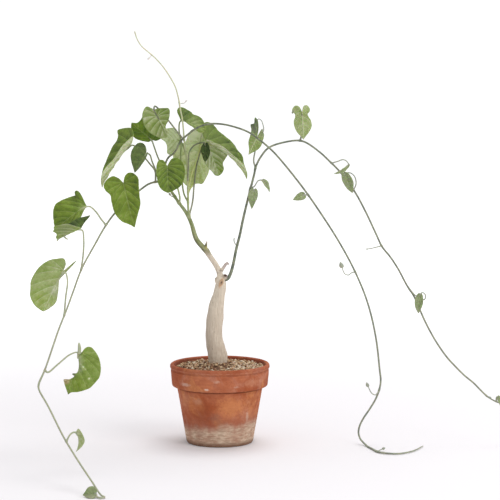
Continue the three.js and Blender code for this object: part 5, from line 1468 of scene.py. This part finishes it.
SOIL_SIDES = 120
SOIL_GAP = 0.3
MOUND_HEIGHT = 8.0
MOUND_REACH = 28
MOUND_TOP = SOIL_MIDDLE_HEIGHT - 0.9 + MOUND_HEIGHT * 0.7
BUMPS = dict(height=0.9, reach=5)
BED_TONE = 0.12
# The crumbs lie between two distances from the axis, and sink over the last stretch before the wall.
CRUMB_COUNT = 1150
CRUMB_FIELD = (10.5, 52.6)
CRUMB_LEVEL = SOIL_MIDDLE_HEIGHT - 0.3
WALL_SINK = dict(depth=0.9, start=40, over=12)
CRUMB_SIZES = (0.8, 0.95, 1.1, 1.3, 1.6, 2.2)
CRUMB_TONES = (0.08, 0.2, 0.3, 0.38, 0.44, 0.5, 0.55, 0.6, 0.68, 0.76, 0.86, 0.97)
# Painted light: towards the right all but the palest grit is set paler, against the shade of the rim.
PAINTED_LIGHT_RIGHT = dict(darker_than=0.7, shift=0.24, over=25)


def ball_shape():
    """The points and faces of a ball with a radius of 1."""
    bpy.ops.mesh.primitive_ico_sphere_add(subdivisions=2, radius=1)
    made = bpy.context.object
    points = np.array([corner.co for corner in made.data.vertices])
    faces = [tuple(face.vertices) for face in made.data.polygons]
    bpy.data.objects.remove(made)
    return points, faces


def crumb_points(draw, ball):
    """One crumb at the origin: a ball made rough and flat, then tipped and turned."""
    size = draw.choice(CRUMB_SIZES) * draw.uniform(0.85, 1.1)
    flat = draw.uniform(0.4, 0.85)
    slim = draw.uniform(0.4, 0.95)
    upright = Vector((draw.uniform(-0.5, 0.5), draw.uniform(-0.5, 0.5), 1))
    tip = np.array(upright.to_track_quat("Z", "Y").to_matrix())
    spin = draw.uniform(0, 2 * math.pi)
    turn = np.array([[math.cos(spin), -math.sin(spin), 0], [math.sin(spin), math.cos(spin), 0], [0, 0, 1]])
    seed = Vector((draw.uniform(0, 90), draw.uniform(0, 90), draw.uniform(0, 90)))
    rough = np.array([1 + 0.5 * noise.noise(Vector(point) * 1.1 + seed) for point in ball])
    return ball * rough[:, None] * np.array([1, slim, flat]) * size @ tip.T @ turn.T


def make_soil():
    """A bed of grit up to a little under the lip, with loose crumbs all over it."""
    draw = random.Random(11)
    form = Form()
    profile = rounded_profile([
        (0, FLOOR_THICKNESS + SOIL_GAP), (INNER_FLOOR_RADIUS - 0.1, FLOOR_THICKNESS + SOIL_GAP),
        (INNER_SHOULDER[0] - 0.4, INNER_SHOULDER[1]), SOIL_EDGE, (SOIL_EDGE[0] - 8, SOIL_EDGE[1] + 0.3),
        (MOUND_REACH, SOIL_MIDDLE_HEIGHT - 0.7), (8, MOUND_TOP), (0, MOUND_TOP)], reach=0.8, spacing=2.4)
    points, faces = turned_points(profile, SOIL_SIDES, lambda radius, height, angle: 0.0)
    top = points[:, 2] > SOIL_EDGE[1] - 0.5
    bumps = np.array([noise.noise(Vector(point) / BUMPS["reach"]) for point in points])
    points[:, 2] += np.where(top, BUMPS["height"] * bumps, 0)
    form.add(points, faces, shade=BED_TONE)
    ball, ball_faces = ball_shape()
    for _ in range(CRUMB_COUNT):
        far = math.sqrt(draw.uniform(CRUMB_FIELD[0] ** 2, CRUMB_FIELD[1] ** 2))
        angle = draw.uniform(0, 2 * math.pi)
        crumb = crumb_points(draw, ball)
        level = CRUMB_LEVEL + draw.uniform(-0.5, 1.1)
        level -= WALL_SINK["depth"] * max(0.0, (far - WALL_SINK["start"]) / WALL_SINK["over"])
        level += MOUND_HEIGHT * max(0.0, (MOUND_REACH - far) / MOUND_REACH)
        crumb += (far * math.cos(angle), far * math.sin(angle), level)
        tone = draw.choice(CRUMB_TONES)
        # Painted light: darker grit turns paler towards the right.
        if tone < PAINTED_LIGHT_RIGHT["darker_than"]:
            tone += PAINTED_LIGHT_RIGHT["shift"] * min(1.0, max(0.0, far * math.cos(angle) / PAINTED_LIGHT_RIGHT["over"]))
        form.add(crumb, ball_faces, shade=tone + draw.uniform(-0.04, 0.03))
    form.piece("grit_soil", [GRIT], "soil")


# The trunk

# CUT is the middle of the healed cut, which leans to the right as it rises. A shape is a reach along X, Y
# and Z.
SKIN_VOXEL = 0.62
CUT = np.array(SCAR["centre"]) + [0.6, -2.4, 0.2]
CUT_SHAPE = (0.75, 1.6, 1.9)
CUT_LEAN = 0.35
CALLUS_RING = 2.1
KNOB_HOLLOW = np.array(KNOB["centre"]) + [0.6, -2.2, 2.2]
KNOB_SKIN = np.array(KNOB["centre"]) + [0, -1, 0.8]
CREASES = ([-3.3, -4, 205.4], [1.8, -5, 208.4], [-5.2, -3, 199])
CREASE_SHAPE = (2.2, 4, 0.9)
# Above the head, where the branch is slim, the bark is smoother.
SLIM = dict(start=196, over=14, less=0.6)


def away_from(points, centre, shape=(1, 1, 1)):
    """How far points are from a centre, counted in reaches along each axis."""
    return np.linalg.norm((points - np.array(centre)) / shape, axis=1)


def bark_height(point):
    """How far the bark stands out at a point: fine fibres, cracks and broad lumps."""
    x, y, z = point
    fibre = noise.noise(Vector((x / 1.3, y / 1.3, z / 24)))
    crack = noise.noise(Vector((x / 2.6 + 9, y / 2.6, z / 34)))
    lump = noise.noise(Vector((x / 7, y / 7, z / 12)))
    return 0.22 * fibre - 0.4 * max(0.0, crack - 0.18) + 0.7 * lump


def fused_trunk():
    """The caudex, its branch, sprout, twig, knob and scar as one skin."""
    form = Form()
    for route, sides in ((TRUNK, 36), (BRANCH, 20), (SPROUT, 12), (TWIG, 14)):
        add_route(form, route, sides)
    ball, ball_faces = ball_shape()
    for lump in (SCAR, KNOB, NODE_BULGE):
        form.add(ball * lump["radius"] + lump["centre"], ball_faces)
    made = form.piece("bark_trunk", [BARK], "trunk")
    fuse = made.modifiers.new("fuse", "REMESH")
    fuse.mode, fuse.voxel_size = "VOXEL", SKIN_VOXEL * MM
    soften = made.modifiers.new("soften", "SMOOTH")
    soften.factor, soften.iterations = 0.5, 6
    settle(made)
    return made.data


def make_trunk():
    """The trunk's skin with its bark: relief, the callus ring round the healed cut, dark hollows, and creases
    darkened with painted shade.
    """
    mesh = fused_trunk()
    points = np.array([corner.co for corner in mesh.vertices]) / MM
    normals = np.array([corner.normal for corner in mesh.vertices])
    lift = np.array([bark_height(point) for point in points])
    lift *= 1 - SLIM["less"] * np.clip((points[:, 2] - SLIM["start"]) / SLIM["over"], 0, 1)
    upright = points - np.outer(CUT_LEAN * (points[:, 2] - CUT[2]), [1, 0, 0])
    from_cut = away_from(upright, CUT, CUT_SHAPE)
    # A raised ring of callus round a hollow, and the hollow in the knob.
    lift += 0.8 * fading(from_cut - CALLUS_RING, 0.9) - 1.9 * fading(from_cut, 1.1)
    hollow = fading(away_from(points, KNOB_HOLLOW), 2.1)
    points += normals * (lift - hollow)[:, None]
    # The creases are only darkened, with painted shade; they are not carved.
    creases = sum(fading(away_from(points, crease, CREASE_SHAPE), 1) for crease in CREASES)
    knob_skin = fading(away_from(points, KNOB_SKIN), 3.4)
    dark = np.clip(fading(from_cut, 1.25) + 1.1 * hollow + 0.35 * knob_skin + 0.6 * creases, 0, 1)
    mesh.vertices.foreach_set("co", (points * MM).ravel())
    for name, values in (("rim", fading(from_cut - CALLUS_RING, 1.5)), ("along", dark)):
        old = mesh.attributes.get(name)
        if old:
            mesh.attributes.remove(old)
        mesh.attributes.new(name, "FLOAT", "POINT").data.foreach_set("value", values)
    mesh.polygons.foreach_set("use_smooth", [True] * len(mesh.polygons))
    mesh.update()


# The plant

# Stalks are written as their radii at the stem and at the blade, and a thread as those at its ends.
LEAF_SPACING = 0.85
LEAF_STALK = (1.05, 0.85)
SMALL_LEAF_SPACING = 0.75
SMALL_LEAF_STALK = (0.8, 0.65)
SMALL_LEAF_LOOKS = dict(wave=0.3, ribs=0.4, warmth=-1.7)
THREAD_RADII = (0.5, 0.75)


def swellings_of(stem_name):
    """Where stalks, small leaves and buds leave a stem."""
    spots = [leaf["stalk"][0] for leaf in LEAVES.values() if leaf["stem"] == stem_name]
    for others in (SMALL_LEAVES, BUDS):
        spots += [other["stalk"][0] for other in others.get(stem_name, ())]
    return spots


def make_stem(name, route):
    """A stem with the small leaves, buds and threads that it bears."""
    form = Form()
    add_route(form, route, 14, ribs=0.05, swellings=swellings_of(name))
    for leaf in SMALL_LEAVES.get(name, ()):
        half = [[along, out * leaf["width"]] for along, out in leaf["half"]]
        shape = dict(leaf, right=half, left=half, **SMALL_LEAF_LOOKS)
        add_blade(form, shape, SMALL_LEAF_SPACING, SMALL_LEAF_SHADES, SMALL_VEINS, looks=(1, 2))
        add_stalk(form, shape, *SMALL_LEAF_STALK, 3)
    for bud in BUDS.get(name, ()):
        add_bud(form, bud, 3)
    for thread in THREADS.get(name, ()):
        line, _, _ = smooth_line(thread, 0.8)
        add_tube(form, line, np.linspace(*THREAD_RADII, len(line)), 8, 3)
    buds_finish = STALKS["faint" if name == "top_shoot" else "dusty"]
    form.piece(name + "_fine", [STEMS[name], LEAF_TOP, LEAF_UNDER, buds_finish], name)


def make_leaf(name, leaf):
    """A large leaf with its stalk and its dry curls."""
    *shades, stalk = LEAF_SHADES[name]
    form = Form()
    plan = SMALL_VEINS if name in FEW_VEINED else LARGE_VEINS
    leaf = dict(leaf, **LEAF_LOOKS.get(name, {}))
    add_blade(form, leaf, LEAF_SPACING, shades, plan)
    add_stalk(form, leaf, *LEAF_STALK, 2)
    for thick, points in leaf.get("curls", ()):
        line, _, _ = smooth_line(points, 0.6)
        narrowing = np.sqrt(1 - 0.85 * np.linspace(0, 1, len(line)) ** 3)
        add_tube(form, line, thick * narrowing, 10, 2, ribs=0.08)
    form.piece(name + "_fine", [LEAF_TOP, LEAF_UNDER, STALKS[stalk]], name)


make_pot()
make_soil()
make_trunk()
for stem_name, stem_route, stem_slot in (
        ("leader_stem", LEADER, "green_stem"), ("top_shoot", FORK_STEM, "young_stem"),
        ("left_vine", LEFT_VINE, "green_stem"), ("middle_vine", MIDDLE_VINE, "green_stem"),
        ("right_vine", RIGHT_VINE, "green_stem")):
    make_stem(stem_name, stem_route)
for leaf_name, leaf_data in LEAVES.items():
    make_leaf(leaf_name, leaf_data)


# Floor, light and camera

# Lengths here are metres, and the camera's tilt is in degrees.
FLOOR_RADIUS = 9
FLOOR_GLOW = 0.4
FLOOR_FADE = (0.15, 2.0)
ROOM_TINT = (0.98, 0.985, 1.0, 1)
ROOM_LIGHT = 0.7
SEEN_LIGHT = 1.05
CAMERA_PLACE = (0.0363, -2.62, 0.519)
CAMERA_TILT = 6.235
CAMERA_LENS = 158.4


def make_stage():
    """A pale floor that fades into a soft white room."""
    finish, graph, surface = new_finish("pale_floor", Roughness=0.9, Specular_IOR_Level=0.05,
                                        Emission_Strength=1.0)
    away = graph.node("VectorMath", {0: graph.place()}, operation="LENGTH").outputs["Value"]
    far = graph.between(away, *FLOOR_FADE)
    glow = graph.mix(far, (0, 0, 0, 1), (FLOOR_GLOW, FLOOR_GLOW, FLOOR_GLOW, 1))
    graph.feed(surface["Base Color"], graph.mix(far, tint(0xECE9EB), tint(0xFCFCFC)))
    graph.feed(surface["Emission Color"], glow)
    bpy.ops.mesh.primitive_circle_add(vertices=96, radius=FLOOR_RADIUS, fill_type="NGON", location=(0, 0, 0))
    floor = bpy.context.object
    floor.name = "pale_floor"
    floor.data.materials.append(finish)

    world = bpy.data.worlds.new("soft_white")
    bpy.context.scene.world = world
    world.use_nodes = True
    nodes, links = world.node_tree.nodes, world.node_tree.links
    lit, seen = nodes["Background"], nodes.new("ShaderNodeBackground")
    lit.inputs[0].default_value = ROOM_TINT
    lit.inputs[1].default_value = ROOM_LIGHT
    seen.inputs[0].default_value = (1, 1, 1, 1)
    seen.inputs[1].default_value = SEEN_LIGHT
    path, blend = nodes.new("ShaderNodeLightPath"), nodes.new("ShaderNodeMixShader")
    links.new(path.outputs["Is Camera Ray"], blend.inputs[0])
    links.new(lit.outputs[0], blend.inputs[1])
    links.new(seen.outputs[0], blend.inputs[2])
    links.new(blend.outputs[0], nodes["World Output"].inputs[0])


def add_softbox(name, place, aim, side, power):
    light = bpy.data.lights.new(name, "AREA")
    light.shape, light.size, light.energy = "SQUARE", side, power
    made = bpy.data.objects.new(name, light)
    bpy.context.scene.collection.objects.link(made)
    made.location = place
    made.rotation_euler = (Vector(aim) - Vector(place)).to_track_quat("-Z", "Y").to_euler()


def add_camera():
    """The photograph's own viewpoint: level with the leaves, 2.6 m in front, tipped a little down."""
    lens = bpy.data.cameras.new("viewpoint")
    lens.lens = CAMERA_LENS
    lens.sensor_width = 36
    lens.clip_end = 40
    made = bpy.data.objects.new("viewpoint", lens)
    bpy.context.scene.collection.objects.link(made)
    made.location = CAMERA_PLACE
    made.rotation_euler = (math.radians(90 - CAMERA_TILT), 0, 0)
    bpy.context.scene.camera = made


make_stage()
add_softbox("key_softbox", place=(1.7, -1.5, 1.5), aim=(0, 0, 0.25), side=1.4, power=20)
add_softbox("top_softbox", place=(0.3, 0.5, 2.3), aim=(0, 0, 0.2), side=1.3, power=22)
add_camera()
bpy.context.scene.view_settings.view_transform = "Standard"
